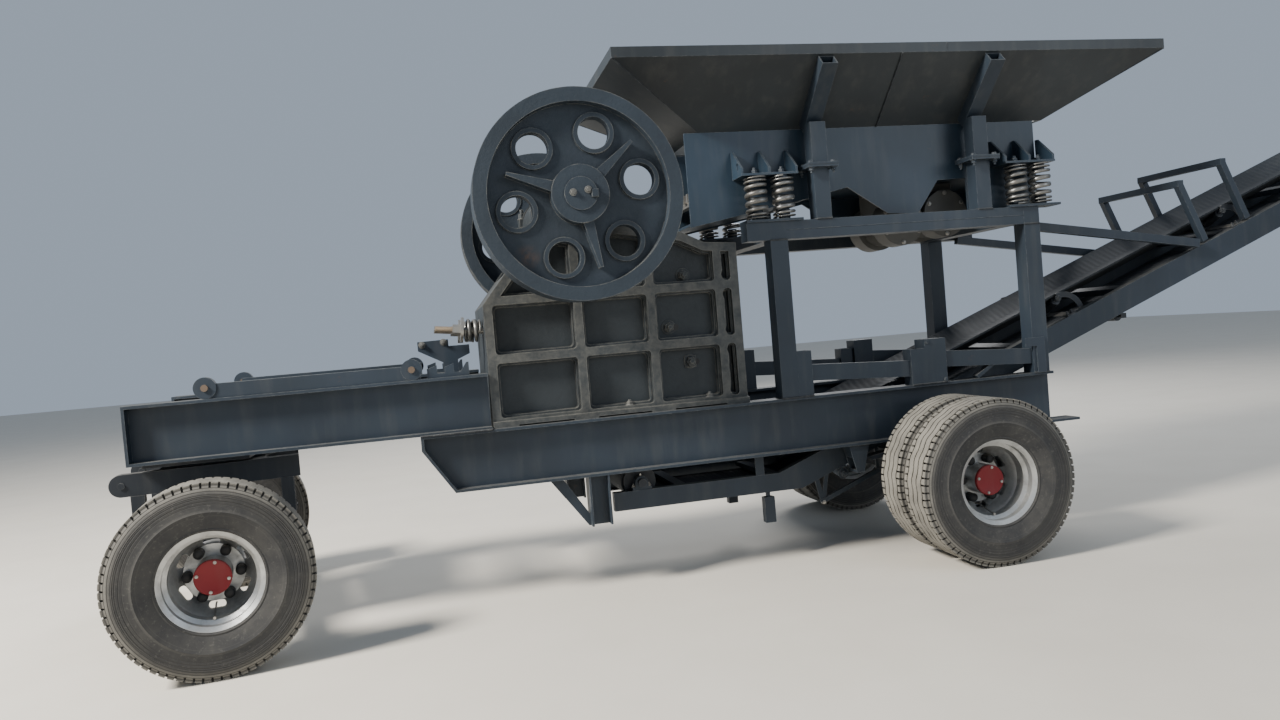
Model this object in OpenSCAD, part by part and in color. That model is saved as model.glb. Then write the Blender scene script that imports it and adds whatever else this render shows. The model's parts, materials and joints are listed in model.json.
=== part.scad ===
// Portable jaw crusher plant: a jaw crusher, its vibrating feeder with hopper
// and a discharge belt conveyor, carried on a four-corner wheeled chassis.
// X runs along the machine towards the conveyor head, Y across it, Z up.
// Sizes along X are measured from the crusher shaft; the finished model is
// then moved so that X = 0 is the middle of its length.

/* [Chassis] */
// Front end of the rear beams, ahead of the shaft
rear_beam_front = -847; // [-900:1:-800]
// Back end of the rear beams
rear_beam_back = 2765; // [2700:1:2900]
// Height of the rear beams' underside above the axles' middle
beam_over_axle = 185; // [180:1:210]
// Depth of the rear beams
rear_beam_h = 300; // [280:1:320]
// Front end of the raised front beams
front_beam_front = -2176; // [-2300:1:-2150]
// Back end of the front beams, where they lie on the rear beams
front_beam_back = -490; // [-520:1:-485]
// Depth of the front beams
front_beam_h = 285; // [260:1:320]
// Width of the beams' flanges
flange_w = 126; // [100:1:140]
// Thickness of the beams' flanges
flange_t = 14; // [10:1:18]
// Thickness of the beams' webs
web_t = 10; // [8:1:14]
// Distance from the centre line to each beam's web
beam_y = 437; // [430:1:450]
// Length of the sloping cut at the rear beams' front end
nose_len = 148; // [100:1:200]
// Length that the bottom flanges run on behind the rear beams
tail_plate_len = 155; // [100:1:200]

/* [Wheels] */
// Outer diameter of every tyre
tyre_d = 860; // [820:1:880]
// Width of every tyre
tyre_w = 232; // [220:1:240]
// Diameter of the wheel rims over their flanges
rim_d = 450; // [430:1:460]
// Distance from the centre line to the front tyres' outer walls
front_track_half = 990; // [970:1:1020]
// Distance from the centre line to the rear tyres' outer walls
rear_track_half = 1087; // [1080:1:1100]
// Spacing of the two tyres of a rear pair
dual_pitch = 252; // [250:1:270]
// Place of the kingpin
kingpin_x = -1900; // [-1950:1:-1850]
// Place of the rear axle
rear_axle_x = 1993; // [1960:1:2020]
// Angle that the front axle is left turned at
steer_angle = 8; // [0:1:12]

/* [Crusher frame] */
// Front edge of the side frames, on the toggle side
crusher_left = -480; // [-484:1:-470]
// Back edge of the side frames, on the feed side
crusher_right = 905; // [880:1:920]
// Distance from the centre line to the faces of the outer ribs
rib_face_y = 430; // [425:1:440]
// Depth of the ribs on the side frames
rib_depth = 60; // [40:1:70]
// Thickness of the side frames behind the ribs
side_plate_t = 40; // [35:1:45]
// Width of the ribs
rib_w = 45; // [35:1:50]
// Height of the lower long rib's middle
rib_low_z = 1265; // [1240:1:1290]
// Height of the upper long rib's middle
rib_high_z = 1565; // [1540:1:1590]

/* [Crushing mechanism] */
// Height of the shaft above the ground
shaft_z = 2025; // [2010:1:2040]
// Diameter of the shaft in its main bearings
shaft_d = 150; // [140:1:156]
// Throw of the eccentric
throw = 12; // [8:1:14]
// Diameter of the flywheels
flywheel_d = 1018; // [980:1:1040]
// Width of the flywheels' rims
flywheel_w = 180; // [160:1:190]
// Distance from the centre line to the flywheels' outer faces
flywheel_y = 866; // [860:1:880]
// Diameter of the six round holes in each flywheel
flywheel_hole_d = 155; // [130:1:165]
// Width of the jaw plates
jaw_w = 560; // [540:1:570]
// Spacing of the teeth on the jaw plates
tooth_pitch = 40; // [36:1:56]

/* [Feeder] */
// Width of the trough inside
trough_w = 650; // [600:1:660]
// Front end of the trough, over the crusher's mouth
trough_left = 690; // [670:1:700]
// Back end of the trough
trough_right = 2860; // [2840:1:2880]
// Height of the trough's upper edge
trough_top = 2405; // [2395:1:2415]
// Height of the hopper's rim
hopper_top = 2775; // [2740:1:2800]
// Distance from the centre line to the hopper's rim
hopper_rim_y = 680; // [660:1:700]
// Front end of the hopper's rim
hopper_left = 246; // [220:1:260]
// Back end of the hopper's rim
hopper_right = 3502; // [3480:1:3520]
// Outer diameter of the feeder springs
spring_d = 128; // [120:1:132]
// Diameter of the feeder springs' wire
spring_wire = 18; // [14:1:20]

/* [Feeder frame] */
// Side of the square posts and rails
post_side = 100; // [90:1:104]
// Distance from the centre line to the posts' outer faces
post_y = 500; // [495:1:505]
// Height of the rails' upper faces
rail_top = 1880; // [1870:1:1890]
// Height of the flanged joints in the hopper's legs
leg_joint_z = 2170; // [2150:1:2200]

/* [Conveyor] */
// Slope of the conveyor's rising part
slope = 20.7; // [19:0.1:21.5]
// Width of the belt measured flat
belt_w = 560; // [540:1:580]
// Distance from the centre line to the side channels' outer faces
conveyor_y = 355; // [350:1:360]
// Depth of the side channels on the slope
channel_h = 140; // [130:1:150]
// Diameter of the belt drums
drum_d = 180; // [160:1:190]
// Place of the head drum
head_x = 5880; // [5800:1:6000]
// Place of the tail drum
tail_x = 290; // [270:1:310]

/* [Hidden] */

paint = [0.23, 0.27, 0.31];
dark_paint = [0.17, 0.20, 0.23];
cast_paint = [0.25, 0.28, 0.31];
bare_steel = [0.60, 0.60, 0.58];
rubber = [0.13, 0.13, 0.13];
silver = [0.72, 0.72, 0.72];

// Running clearance of a shaft in its bore, and the gap left between seated pieces
running = 0.05;
seat = 0.3;
cut = 1;

axle_z = tyre_d / 2;
rear_beam_z = axle_z + beam_over_axle;
rear_beam_top = rear_beam_z + rear_beam_h;
front_beam_z = rear_beam_top + seat;
front_beam_top = front_beam_z + front_beam_h;

front_tyre_y = front_track_half - tyre_w / 2;
rear_outer_y = rear_track_half - tyre_w / 2;
rear_inner_y = rear_outer_y - dual_pitch;

// The tyre's outline from its bead to the middle of its tread, as radius and
// distance from the tyre's middle plane
bead_r = rim_d / 2 - 19;
bead_y = tyre_w * 0.34;
function tyre_half(s) = [
    [bead_r, s * bead_y], [rim_d / 2 + 3, s * bead_y], [rim_d / 2 + 8, s * tyre_w * 0.42],
    [rim_d / 2 + 45, s * tyre_w * 0.485], [rim_d / 2 + 88, s * tyre_w / 2],
    [tyre_d / 2 - 72, s * tyre_w * 0.49], [tyre_d / 2 - 30, s * tyre_w * 0.455],
    [tyre_d / 2 - 11, s * tyre_w * 0.42], [tyre_d / 2 - 3, s * tyre_w * 0.33],
    [tyre_d / 2, s * tyre_w * 0.15]
];

// How far the turned front wheels reach ahead, and where the model ends behind
front_reach = kingpin_x - front_tyre_y * sin(steer_angle)
    - max([for (p = tyre_half(1)) p[0] * cos(steer_angle) + p[1] * sin(steer_angle)]);
head_end = head_x + drum_d / 2 + 10;
centre_x = (front_reach + head_end) / 2;

module in_frame() { translate([-centre_x, 0, 0]) children(); }
module both_sides() { children(); mirror([0, 1, 0]) children(); }

// A plate with its outline in the X-Z plane, t thick, its middle at distance y
module side_plate(outline, t, y) {
    translate([0, y + t / 2, 0]) rotate([90, 0, 0]) linear_extrude(t) polygon(outline);
}

// A flat bar between two X-Z points, t thick above the line and w wide in Y
module strip(a, b, t, w, y) {
    translate([a[0], y - w / 2, a[1]])
        rotate([0, -atan2(b[1] - a[1], b[0] - a[0]), 0])
            cube([norm(b - a), w, t]);
}

// A round bar or hole along Y from y0 to y1
module along_y(x, z, y0, y1, r) {
    translate([x, y1, z]) rotate([90, 0, 0]) cylinder(h = y1 - y0, r = r, $fn = 64);
}

// A rounded rectangle in two dimensions
module rounded(w, h, r) {
    translate([r, 0]) square([w - 2 * r, h]);
    translate([0, r]) square([w, h - 2 * r]);
    for (x = [r, w - r], y = [r, h - r]) translate([x, y]) circle(r = r, $fn = 32);
}

function unit(v) = v / norm(v);
function left(v) = [-v[1], v[0]];
// The points of a polygon, in anticlockwise order, moved t inwards
function inset(p, t) = let (n = len(p)) [for (i = [0:n - 1])
    let (u = left(unit(p[i] - p[(i + n - 1) % n])), v = left(unit(p[(i + 1) % n] - p[i])))
    p[i] + t * (u + v) / (1 + u * v)];

// A beam with its web at distance y: an outline as wide as its flanges, less a
// pocket on each side of the web
module flanged(outline, pocket, y) {
    difference() {
        side_plate(outline, flange_w, y);
        for (s = [-1, 1]) side_plate(pocket, flange_w / 2, y + s * (flange_w / 4 + web_t / 2));
    }
}

// A square tube along Z or Y made as a solid bar with open ends
module post(x, y, z0, z1, side) {
    difference() {
        translate([x, y, z0]) cube([side, side, z1 - z0]);
        translate([x + 6, y + 6, z0 - cut]) cube([side - 12, side - 12, z1 - z0 + 2 * cut]);
    }
}

/* Chassis */

nose_top = rear_beam_top - flange_t - rear_beam_h * 0.2;

rear_beam_side = [
    [rear_beam_front + nose_len, rear_beam_z], [rear_beam_back, rear_beam_z], [rear_beam_back, rear_beam_top],
    [rear_beam_front, rear_beam_top], [rear_beam_front, nose_top]
];
module rear_beam(y) {
    flanged(rear_beam_side, inset([for (p = rear_beam_side)
        p[0] == rear_beam_back ? p + [flange_t + cut, 0] : p], flange_t), y);
    translate([rear_beam_back - cut, y - flange_w / 2, rear_beam_z])
        cube([tail_plate_len + cut, flange_w, flange_t]);
}

module rear_beams() {
    color(paint) in_frame() both_sides() rear_beam(-beam_y);
}

front_beam_side = [
    [front_beam_front - flange_t, front_beam_z], [front_beam_back, front_beam_z],
    [front_beam_back, front_beam_top], [front_beam_front - flange_t, front_beam_top]
];
module front_beams() {
    color(paint) in_frame() both_sides() {
        flanged(front_beam_side, inset([for (p = front_beam_side)
            p[0] == front_beam_back ? p + [flange_t + cut, 0] : p], flange_t),
            -beam_y);
    }
}

cross_inner = beam_y - web_t / 2 - seat;
cross_w = 80;
cross_h = 160;
module cross_bar(x, z, h) {
    translate([x, -cross_inner, z]) cube([cross_w, 2 * cross_inner, h]);
}

// An upright bracket that stands on the last front cross member
bracket_x = -700;
bracket_y = -150;
bracket_foot = front_beam_z + flange_t + cross_h;
module upright_bracket() {
    side_plate([
        [bracket_x, bracket_foot], [bracket_x + cross_w, bracket_foot], [bracket_x + cross_w, 1280],
        [-555, 1308],
        [-555, 1356], [-664, 1356], [-664, 1392], [-826, 1389], [-826, 1340], [bracket_x, 1270]
    ], 12, bracket_y);
}

module cross_members() {
    color(dark_paint) in_frame() {
        upright_bracket();
        for (x = [front_beam_front + 20, kingpin_x - 220, kingpin_x + 140, -1350, bracket_x])
            cross_bar(x, front_beam_z + flange_t + seat, cross_h);
        for (x = [-560, -200]) cross_bar(x, rear_beam_z + flange_t + seat, cross_h);
    }
}

deck_bar_x0 = -1820;
deck_bar_x1 = -820;
deck_bar_h = 70;
ear_r = 52;
ear_hole_r = 17;
// A plate with three teeth on the front beam, ahead of the crusher
stop_x = -787;
stop_teeth = [
    [0, 0], [208, 0], [208, 68], [197, 68], [165, 22], [133, 22], [133, 66], [88, 52], [88, 22], [50, 22],
    [50, 64], [0, 48]
];
module notched_stop() {
    side_plate([for (p = stop_teeth) p + [stop_x, front_beam_top + seat]], 12, -beam_y - 35);
}
module deck_bars() {
    color(paint) in_frame() both_sides() notched_stop();
    color(paint) in_frame() both_sides() difference() {
        union() {
            translate([deck_bar_x0, -beam_y - 50, front_beam_top + seat])
                cube([deck_bar_x1 - deck_bar_x0, 80, deck_bar_h]);
            for (x = [deck_bar_x0, deck_bar_x1 - 41]) {
                along_y(x, front_beam_top + seat + ear_r, -beam_y - 55, -beam_y - 20, ear_r);
            }
        }
        for (x = [deck_bar_x0, deck_bar_x1 - 41])
            along_y(x, front_beam_top + seat + ear_r, -beam_y - 55 - cut, -beam_y - 20 + cut, ear_hole_r);
    }
}

leg_x = -20;
leg_w = 110;
leg_bottom = 355;
module parking_leg(y) {
    translate([leg_x, y - 60, leg_bottom]) {
        cube([10, 120, rear_beam_z - seat - leg_bottom]);
        translate([leg_w - 10, 0, 0]) cube([10, 120, rear_beam_z - seat - leg_bottom]);
        translate([0, 55, 0]) cube([leg_w, 10, rear_beam_z - seat - leg_bottom]);
    }
}
module leg_brace() {
    hull() {
        translate([leg_x - 10.0, -beam_y - 10, leg_bottom]) cube([9.9, 20, 60]);
        translate([leg_x - 190, -beam_y - 10, rear_beam_z - seat - 10]) cube([60, 20, 10]);
    }
}
module parking_legs() {
    color(paint) in_frame() both_sides() {
        parking_leg(-beam_y);
        translate([leg_x - 10, -beam_y - 10, leg_bottom]) cube([10, 20, 60]);
        leg_brace();
    }
}

/* Turning front axle */

turntable_r = 330;
plate_t = 20;
kingpin_r = 30;
turntable_z = front_beam_z - seat - plate_t;
module turntable() {
    color(dark_paint) in_frame() difference() {
        union() {
            translate([kingpin_x, 0, turntable_z]) cylinder(h = plate_t, r = turntable_r, $fn = 96);
            translate([kingpin_x - 240, -beam_y, turntable_z]) cube([480, 2 * beam_y, plate_t]);
        }
        translate([kingpin_x, 0, turntable_z - cut])
            cylinder(h = plate_t + 2 * cut, r = kingpin_r + running, $fn = 64);
    }
}

module turned() {
    in_frame() translate([kingpin_x, 0, 0]) rotate([0, 0, steer_angle]) children();
}

side_bar_y = 330;
side_bar_h = 107;
side_bar_t = 60;
side_bar_half = 400;
dolly_top = turntable_z - seat;
side_bar_z = dolly_top - plate_t - side_bar_h;
module dolly_frame() {
    color(dark_paint) turned() {
        difference() {
            union() {
                translate([0, 0, dolly_top - plate_t]) cylinder(h = plate_t, r = turntable_r - 20, $fn = 96);
                both_sides() {
                    translate([-side_bar_half, -side_bar_y - side_bar_t / 2, side_bar_z])
                        cube([2 * side_bar_half, side_bar_t, side_bar_h]);
                    along_y(-side_bar_half, side_bar_z + side_bar_h / 2, -side_bar_y - side_bar_t / 2,
                        -side_bar_y + side_bar_t / 2, side_bar_h / 2);
                }
                for (x = [-240, 160]) translate([x, -side_bar_y, side_bar_z + 20])
                    cube([80, 2 * side_bar_y, side_bar_h - 20]);
            }
            both_sides() along_y(-side_bar_half, side_bar_z + side_bar_h / 2, -side_bar_y - side_bar_t,
                -side_bar_y + side_bar_t, 16);
        }
        translate([0, 0, side_bar_z + 20])
            cylinder(h = dolly_top + plate_t - side_bar_z - 20, r = kingpin_r, $fn = 64);
        translate([0, 0, side_bar_z + 20]) cylinder(h = 60, r = 70, $fn = 64);
        translate([-200, -30, side_bar_z + 20]) cube([400, 60, 40]);
    }
}

axle_side = 120;
spindle_r = 34;
hub_gap = 6;
seat_pad = 10;
module axle_beam(half_len, spindle_end, pad_y) {
    both_sides() translate([-30, -pad_y - 38, axle_z + axle_side / 2 - 1]) cube([60, 76, seat_pad + 1]);
    translate([-axle_side / 2, -half_len, axle_z - axle_side / 2]) cube([axle_side, 2 * half_len, axle_side]);
    along_y(0, axle_z, -spindle_end, spindle_end, spindle_r);
}
module front_axle() {
    color(dark_paint) turned() axle_beam(front_hub_in - hub_gap, front_disc_y + 60, side_bar_y);
}

// A pack of leaves that arches from its two ends up to its middle
leaf_t = 12;
function leaf_arc(half, rise, lift, n = 12) =
    [for (i = [-n:n]) [half * i / n, lift + rise * (1 - (i / n) * (i / n))]];
module leaf_pack(half, rise, z, count, y, w) {
    for (k = [0:count - 1]) {
        part_half = half * (1 - 0.14 * k);
        part_rise = rise * pow(part_half / half, 2);
        low = leaf_arc(part_half, part_rise, z + rise - part_rise - (k + 1) * leaf_t);
        high = leaf_arc(part_half, part_rise, z + rise - part_rise - k * leaf_t);
        side_plate(concat(low, [for (i = [len(high) - 1:-1:0]) high[i]]), w, y);
    }
}

dolly_leaf_count = 5;
dolly_leaf_rise = 30;
dolly_leaf_z = axle_z + axle_side / 2 + seat_pad + seat + dolly_leaf_count * leaf_t - dolly_leaf_rise;
module dolly_springs() {
    color(dark_paint) turned() both_sides() {
        leaf_pack(370, dolly_leaf_rise, dolly_leaf_z, dolly_leaf_count, -side_bar_y, 70);
        for (x = [-365, 305]) translate([x, -side_bar_y - 35, dolly_leaf_z - 30])
            cube([60, 70, side_bar_z - seat - dolly_leaf_z + 30]);
    }
}

/* Wheels */

module tyre() {
    groove_w = 9;
    groove_d = 12;
    rotate([90, 0, 0]) rotate_extrude($fn = 96) difference() {
        polygon(concat(tyre_half(1), [for (i = [9:-1:0]) tyre_half(-1)[i]],
            [[bead_r, -bead_y + 18], [bead_r + 30, -bead_y + 14], [tyre_d / 2 - 60, -tyre_w * 0.38],
             [tyre_d / 2 - 45, 0], [tyre_d / 2 - 60, tyre_w * 0.38], [bead_r + 30, bead_y - 14],
             [bead_r, bead_y - 18]]));
        for (k = [-1.5, -0.5, 0.5, 1.5]) translate([tyre_d / 2 - groove_d, k * tyre_w * 0.19 - groove_w / 2])
            square([groove_d + cut, groove_w]);
    }
}

stud_circle_r = 111;
hub_cap_r = 78;
disc_t = 12;
seat_band = 34;
barrel_t = 8;
disc_off = dual_pitch / 2;
hand_hole_w = 72;
hand_hole_h = 28;

// An oval hole through a rim's disc
module hand_hole() {
    square([hand_hole_w - hand_hole_h, hand_hole_h], center = true);
    for (s = [-1, 1]) translate([s * (hand_hole_w - hand_hole_h) / 2, 0]) circle(d = hand_hole_h, $fn = 24);
}

// The drop-centre barrel of a rim, as radius and distance along the axle
module rim_barrel() {
    seat_r = bead_r - seat;
    well_r = seat_r - 18;
    edge = bead_y + seat;
    outer = [
        [rim_d / 2, edge + 10], [rim_d / 2, edge + 4], [rim_d / 2 - 6, edge], [seat_r, edge],
        [seat_r, edge - seat_band], [well_r, edge - seat_band - 14]
    ];
    n = len(outer);
    whole = concat(outer, [for (i = [n - 1:-1:0]) [outer[i][0], -outer[i][1]]]);
    inner = concat([[rim_d / 2 - barrel_t, edge + 10]],
        [for (i = [3:n - 1]) outer[i] - [barrel_t, barrel_t / 2]]);
    polygon(concat(whole, [for (i = [0:n - 3]) [inner[i][0], -inner[i][1]]],
        [for (i = [n - 3:-1:0]) inner[i]]));
}

// One wheel: its barrel, and its disc set off from the middle plane along +Y or -Y
module rim(toward) {
    well_r = bead_r - seat - 18;
    difference() {
        rotate([90, 0, 0]) rotate_extrude($fn = 96) {
            rim_barrel();
            polygon([for (p = [
                [60, disc_off], [stud_circle_r + 22, disc_off], [well_r - 26, disc_off - 30],
                [well_r - 4, disc_off - 80],
                [well_r - 4, disc_off - 100], [well_r - 14, disc_off - 84], [well_r - 36, disc_off - 40],
                [stud_circle_r + 18, disc_off - disc_t], [60, disc_off - disc_t]
            ]) [p[0], -toward * p[1]]]);
        }
        for (k = [0:5]) rotate([0, 60 * k, 0]) translate([0, tyre_w, well_r - 31 - hand_hole_h / 2])
            rotate([90, 0, 0]) linear_extrude(2 * tyre_w) hand_hole();
    }
}

// The hub between the discs and the axle's end, and its cap
module hub(y_in, y_disc, y_cap) {
    difference() {
        union() {
            along_y(0, 0, -y_disc + disc_t + seat, -y_in, stud_circle_r + 20);
            along_y(0, 0, -y_cap + 8, -y_in, 60 - seat);
            along_y(0, 0, -y_cap, -y_disc - disc_t - seat, hub_cap_r);
        }
        along_y(0, 0, -y_cap + 20, -y_in + cut, spindle_r + running);
    }
}

front_disc_y = front_tyre_y - disc_off;
front_hub_in = front_disc_y - 90;
module front_wheel(part) {
    translate([0, -front_tyre_y, axle_z]) {
        if (part == "tyre") tyre();
        if (part == "rim") {
            rim(1);
            translate([0, front_tyre_y, 0]) hub(front_hub_in, front_disc_y, front_tyre_y);
        }
    }
}
module front_tyre_near() { color(rubber) turned() front_wheel("tyre"); }
module front_rim_near() { color(silver) turned() front_wheel("rim"); }
module front_tyre_far() { color(rubber) turned() rotate([0, 0, 180]) front_wheel("tyre"); }
module front_rim_far() { color(silver) turned() rotate([0, 0, 180]) front_wheel("rim"); }

rear_mid_y = rear_outer_y - disc_off;
rear_hub_in = rear_mid_y - 110;
module rear_axle() {
    color(dark_paint) in_frame() translate([rear_axle_x, 0, 0])
        axle_beam(rear_hub_in - hub_gap, rear_mid_y + 60, beam_y);
}
module rear_wheel(part) {
    translate([rear_axle_x, 0, axle_z]) {
        for (w = [[rear_outer_y, 1], [rear_inner_y, -1]]) translate([0, -w[0], 0]) {
            if (part == "tyre") tyre();
            if (part == "rim") rim(w[1]);
        }
        if (part == "rim") hub(rear_hub_in, rear_mid_y, rear_outer_y);
    }
}
module rear_tyres_near() { color(rubber) in_frame() rear_wheel("tyre"); }
module rear_rims_near() { color(silver) in_frame() rear_wheel("rim"); }
module rear_tyres_far() { color(rubber) in_frame() mirror([0, 1, 0]) rear_wheel("tyre"); }
module rear_rims_far() { color(silver) in_frame() mirror([0, 1, 0]) rear_wheel("rim"); }

rear_leaf_count = 6;
rear_leaf_half = 480;
rear_leaf_rise = 40;
rear_leaf_z = axle_z + axle_side / 2 + seat_pad + seat + rear_leaf_count * leaf_t - rear_leaf_rise;
spring_y = beam_y;
module leaf_springs() {
    color(dark_paint) in_frame() translate([rear_axle_x, 0, 0]) both_sides()
        leaf_pack(rear_leaf_half, rear_leaf_rise, rear_leaf_z, rear_leaf_count, -spring_y, 75);
}

hanger_w = 120;
hanger_low = rear_leaf_z - 72;
module spring_hanger(x) {
    low = hanger_low;
    difference() {
        side_plate([
            [x - hanger_w / 2, rear_beam_z - seat], [x - hanger_w / 6, low], [x + hanger_w / 6, low],
            [x + hanger_w / 2, rear_beam_z - seat]
        ], 96, -spring_y);
        translate([x - hanger_w, -spring_y - 38 - seat, low + 15])
            cube([2 * hanger_w, 76 + 2 * seat, rear_leaf_z + leaf_t - low - 15]);
    }
}
module spring_hangers() {
    color(paint) in_frame() both_sides() {
        for (s = [-1, 1]) spring_hanger(rear_axle_x + s * rear_leaf_half);
    }
}

/* Crusher frame */

base_z = rear_beam_top + seat;
base_flange = 45;
side_inner = rib_face_y - rib_depth - side_plate_t;
bearing_r = 140;
boss_r = 190;
crusher_outline = [
    [crusher_left, base_z], [crusher_left, 1548], [crusher_left + 160, 1744], [-boss_r, 1900],
    [-boss_r, shaft_z],
    [boss_r, shaft_z], [boss_r, 1930], [600, 1861], [729, 1798], [crusher_right, 1786], [crusher_right, base_z]
];
crusher_inset = [
    [crusher_left + rib_w, base_z + base_flange], [crusher_left + rib_w, 1530], [crusher_left + 190, 1708],
    [-boss_r, 1850], [boss_r, 1880], [592, 1815], [715, 1754], [crusher_right - rib_w, 1742],
    [crusher_right - rib_w, base_z + base_flange]
];
rib_columns = [crusher_left + rib_w / 2, 10, 405, 790, crusher_right - rib_w / 2];
rib_rows = [base_z + base_flange - rib_w / 2, rib_low_z, rib_high_z, 2100];

// The pockets between the ribs, made smaller all round by step
module frame_pockets(step) {
    difference() {
        intersection() {
            polygon(inset(crusher_inset, -step - 0.01));
            for (c = [0:3], r = [0:2]) {
                x0 = rib_columns[c] + rib_w / 2 + step;
                z0 = rib_rows[r] + rib_w / 2 + step;
                translate([x0, z0])
                    rounded(rib_columns[c + 1] - rib_w / 2 - step - x0,
                        rib_rows[r + 1] - rib_w / 2 - step - z0, 20);
            }
        }
        translate([0, shaft_z]) circle(r = boss_r + step, $fn = 96);
    }
}

// Thin gaps under the base, between the pads that it stands on
rib_step = 12;
rib_step_depth = 26;
base_gap = 7;
pad_len = 130;
module base_gaps() {
    gap_len = (crusher_right - crusher_left - 4 * pad_len) / 3;
    for (k = [0:2]) translate([crusher_left + pad_len + k * (gap_len + pad_len), -rib_face_y - 40,
        base_z - cut])
        cube([gap_len, rib_depth + side_plate_t + 50, base_gap + cut]);
}

module side_frame() {
    difference() {
        translate([0, -side_inner, 0]) rotate([90, 0, 0]) linear_extrude(side_plate_t + rib_depth)
            polygon(crusher_outline);
        translate([0, -rib_face_y + rib_step_depth, 0]) rotate([90, 0, 0]) linear_extrude(rib_step_depth + cut)
            frame_pockets(0);
        translate([0, -rib_face_y + rib_depth, 0]) rotate([90, 0, 0]) linear_extrude(rib_depth)
            frame_pockets(rib_step);
        along_y(0, shaft_z, -rib_face_y - cut, -side_inner + cut, bearing_r + seat);
        base_gaps();
    }
    difference() {
        translate([crusher_left, -rib_face_y - 30, base_z]) cube([crusher_right - crusher_left, 40, 30]);
        base_gaps();
    }
}
module side_frame_near() { color(cast_paint) in_frame() side_frame(); }
module side_frame_far() { color(cast_paint) in_frame() mirror([0, 1, 0]) side_frame(); }

wall_half = side_inner - seat;
front_wall_t = 60;
module front_wall() {
    color(cast_paint) in_frame() {
        translate([crusher_right - 120, -wall_half, base_z]) cube([front_wall_t, 2 * wall_half, 1786 - base_z]);
        for (z = [base_z, rib_low_z - rib_w / 2, rib_high_z - rib_w / 2, 1786 - rib_w])
            translate([crusher_right - 120, -wall_half, z]) cube([120, 2 * wall_half, rib_w]);
        for (y = [-150, 150]) translate([crusher_right - 120, y - rib_w / 2, base_z])
            cube([120, rib_w, 1786 - base_z]);
    }
}

rear_wall_t = 60;
toggle_rear = [crusher_left + 190, 1600];
toggle_front = [215, 1390];
seat_r = 26;
rod_y = 232;
toggle_half = 200;
rod_r = 16;
rod_out = [crusher_left - 252, 1450];
rod_in = [305, 1330];
rod_tilt = atan2(rod_out[1] - rod_in[1], rod_in[0] - rod_out[0]);
module rear_wall() {
    color(cast_paint) in_frame() difference() {
        union() {
            translate([crusher_left, -wall_half, base_z]) cube([rear_wall_t, 2 * wall_half, 1548 - base_z]);
            side_plate([
                [crusher_left, 1500], [crusher_left, 1548], [crusher_left + 130, 1705],
                [toggle_rear[0] - seat_r, 1690],
                [toggle_rear[0], toggle_rear[1] + 60], [toggle_rear[0], toggle_rear[1] - 60],
                [crusher_left + rear_wall_t, 1480]
            ], 2 * wall_half, 0);
            translate([crusher_left, -wall_half, base_z]) cube([150, 2 * wall_half, rib_w]);
        }
        for (y = [-rod_y, rod_y]) rod_line(y, rod_r + 14, 40);
        along_y(toggle_rear[0], toggle_rear[1], -wall_half - cut, wall_half + cut, seat_r + seat);
    }
}

// A round bar along the tension rods' line, run on past both ends by extra
module rod_line(y, r, extra) {
    len = norm(rod_out - rod_in);
    translate([rod_in[0], y, rod_in[1]]) rotate([0, -90 + rod_tilt, 0]) translate([0, 0, -extra])
        cylinder(h = len + 2 * extra, r = r, $fn = 48);
}

/* Jaws */

jaw_bottom = base_z + 60;
jaw_plate_t = 55;
fixed_face_x = crusher_right - 120 - seat;
tooth_depth = 22;
function tooth_row(half) = let (n = floor(half / tooth_pitch))
    [for (i = [-n:n - 1], k = [0, 1]) [k == 0 ? 0 : -tooth_depth, (i + k * 0.5 + 0.25) * tooth_pitch]];
module toothed_plate(h) {
    half = jaw_w / 2;
    linear_extrude(h) polygon(concat([[jaw_plate_t, -half], [0, -half]], tooth_row(half),
        [[0, half], [jaw_plate_t, half]]));
}
module fixed_jaw_plate() {
    color(bare_steel) in_frame() translate([fixed_face_x - jaw_plate_t, 0, jaw_bottom])
        toothed_plate(1760 - jaw_bottom);
}

cheek_t = 22;
module cheek_plates() {
    color(bare_steel) in_frame() both_sides()
        side_plate([
            [640, jaw_bottom + 10], [fixed_face_x - 10, jaw_bottom + 10], [fixed_face_x - 10, 1760], [390, 1760]
        ], cheek_t, -side_inner + seat + cheek_t / 2);
}

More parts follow.
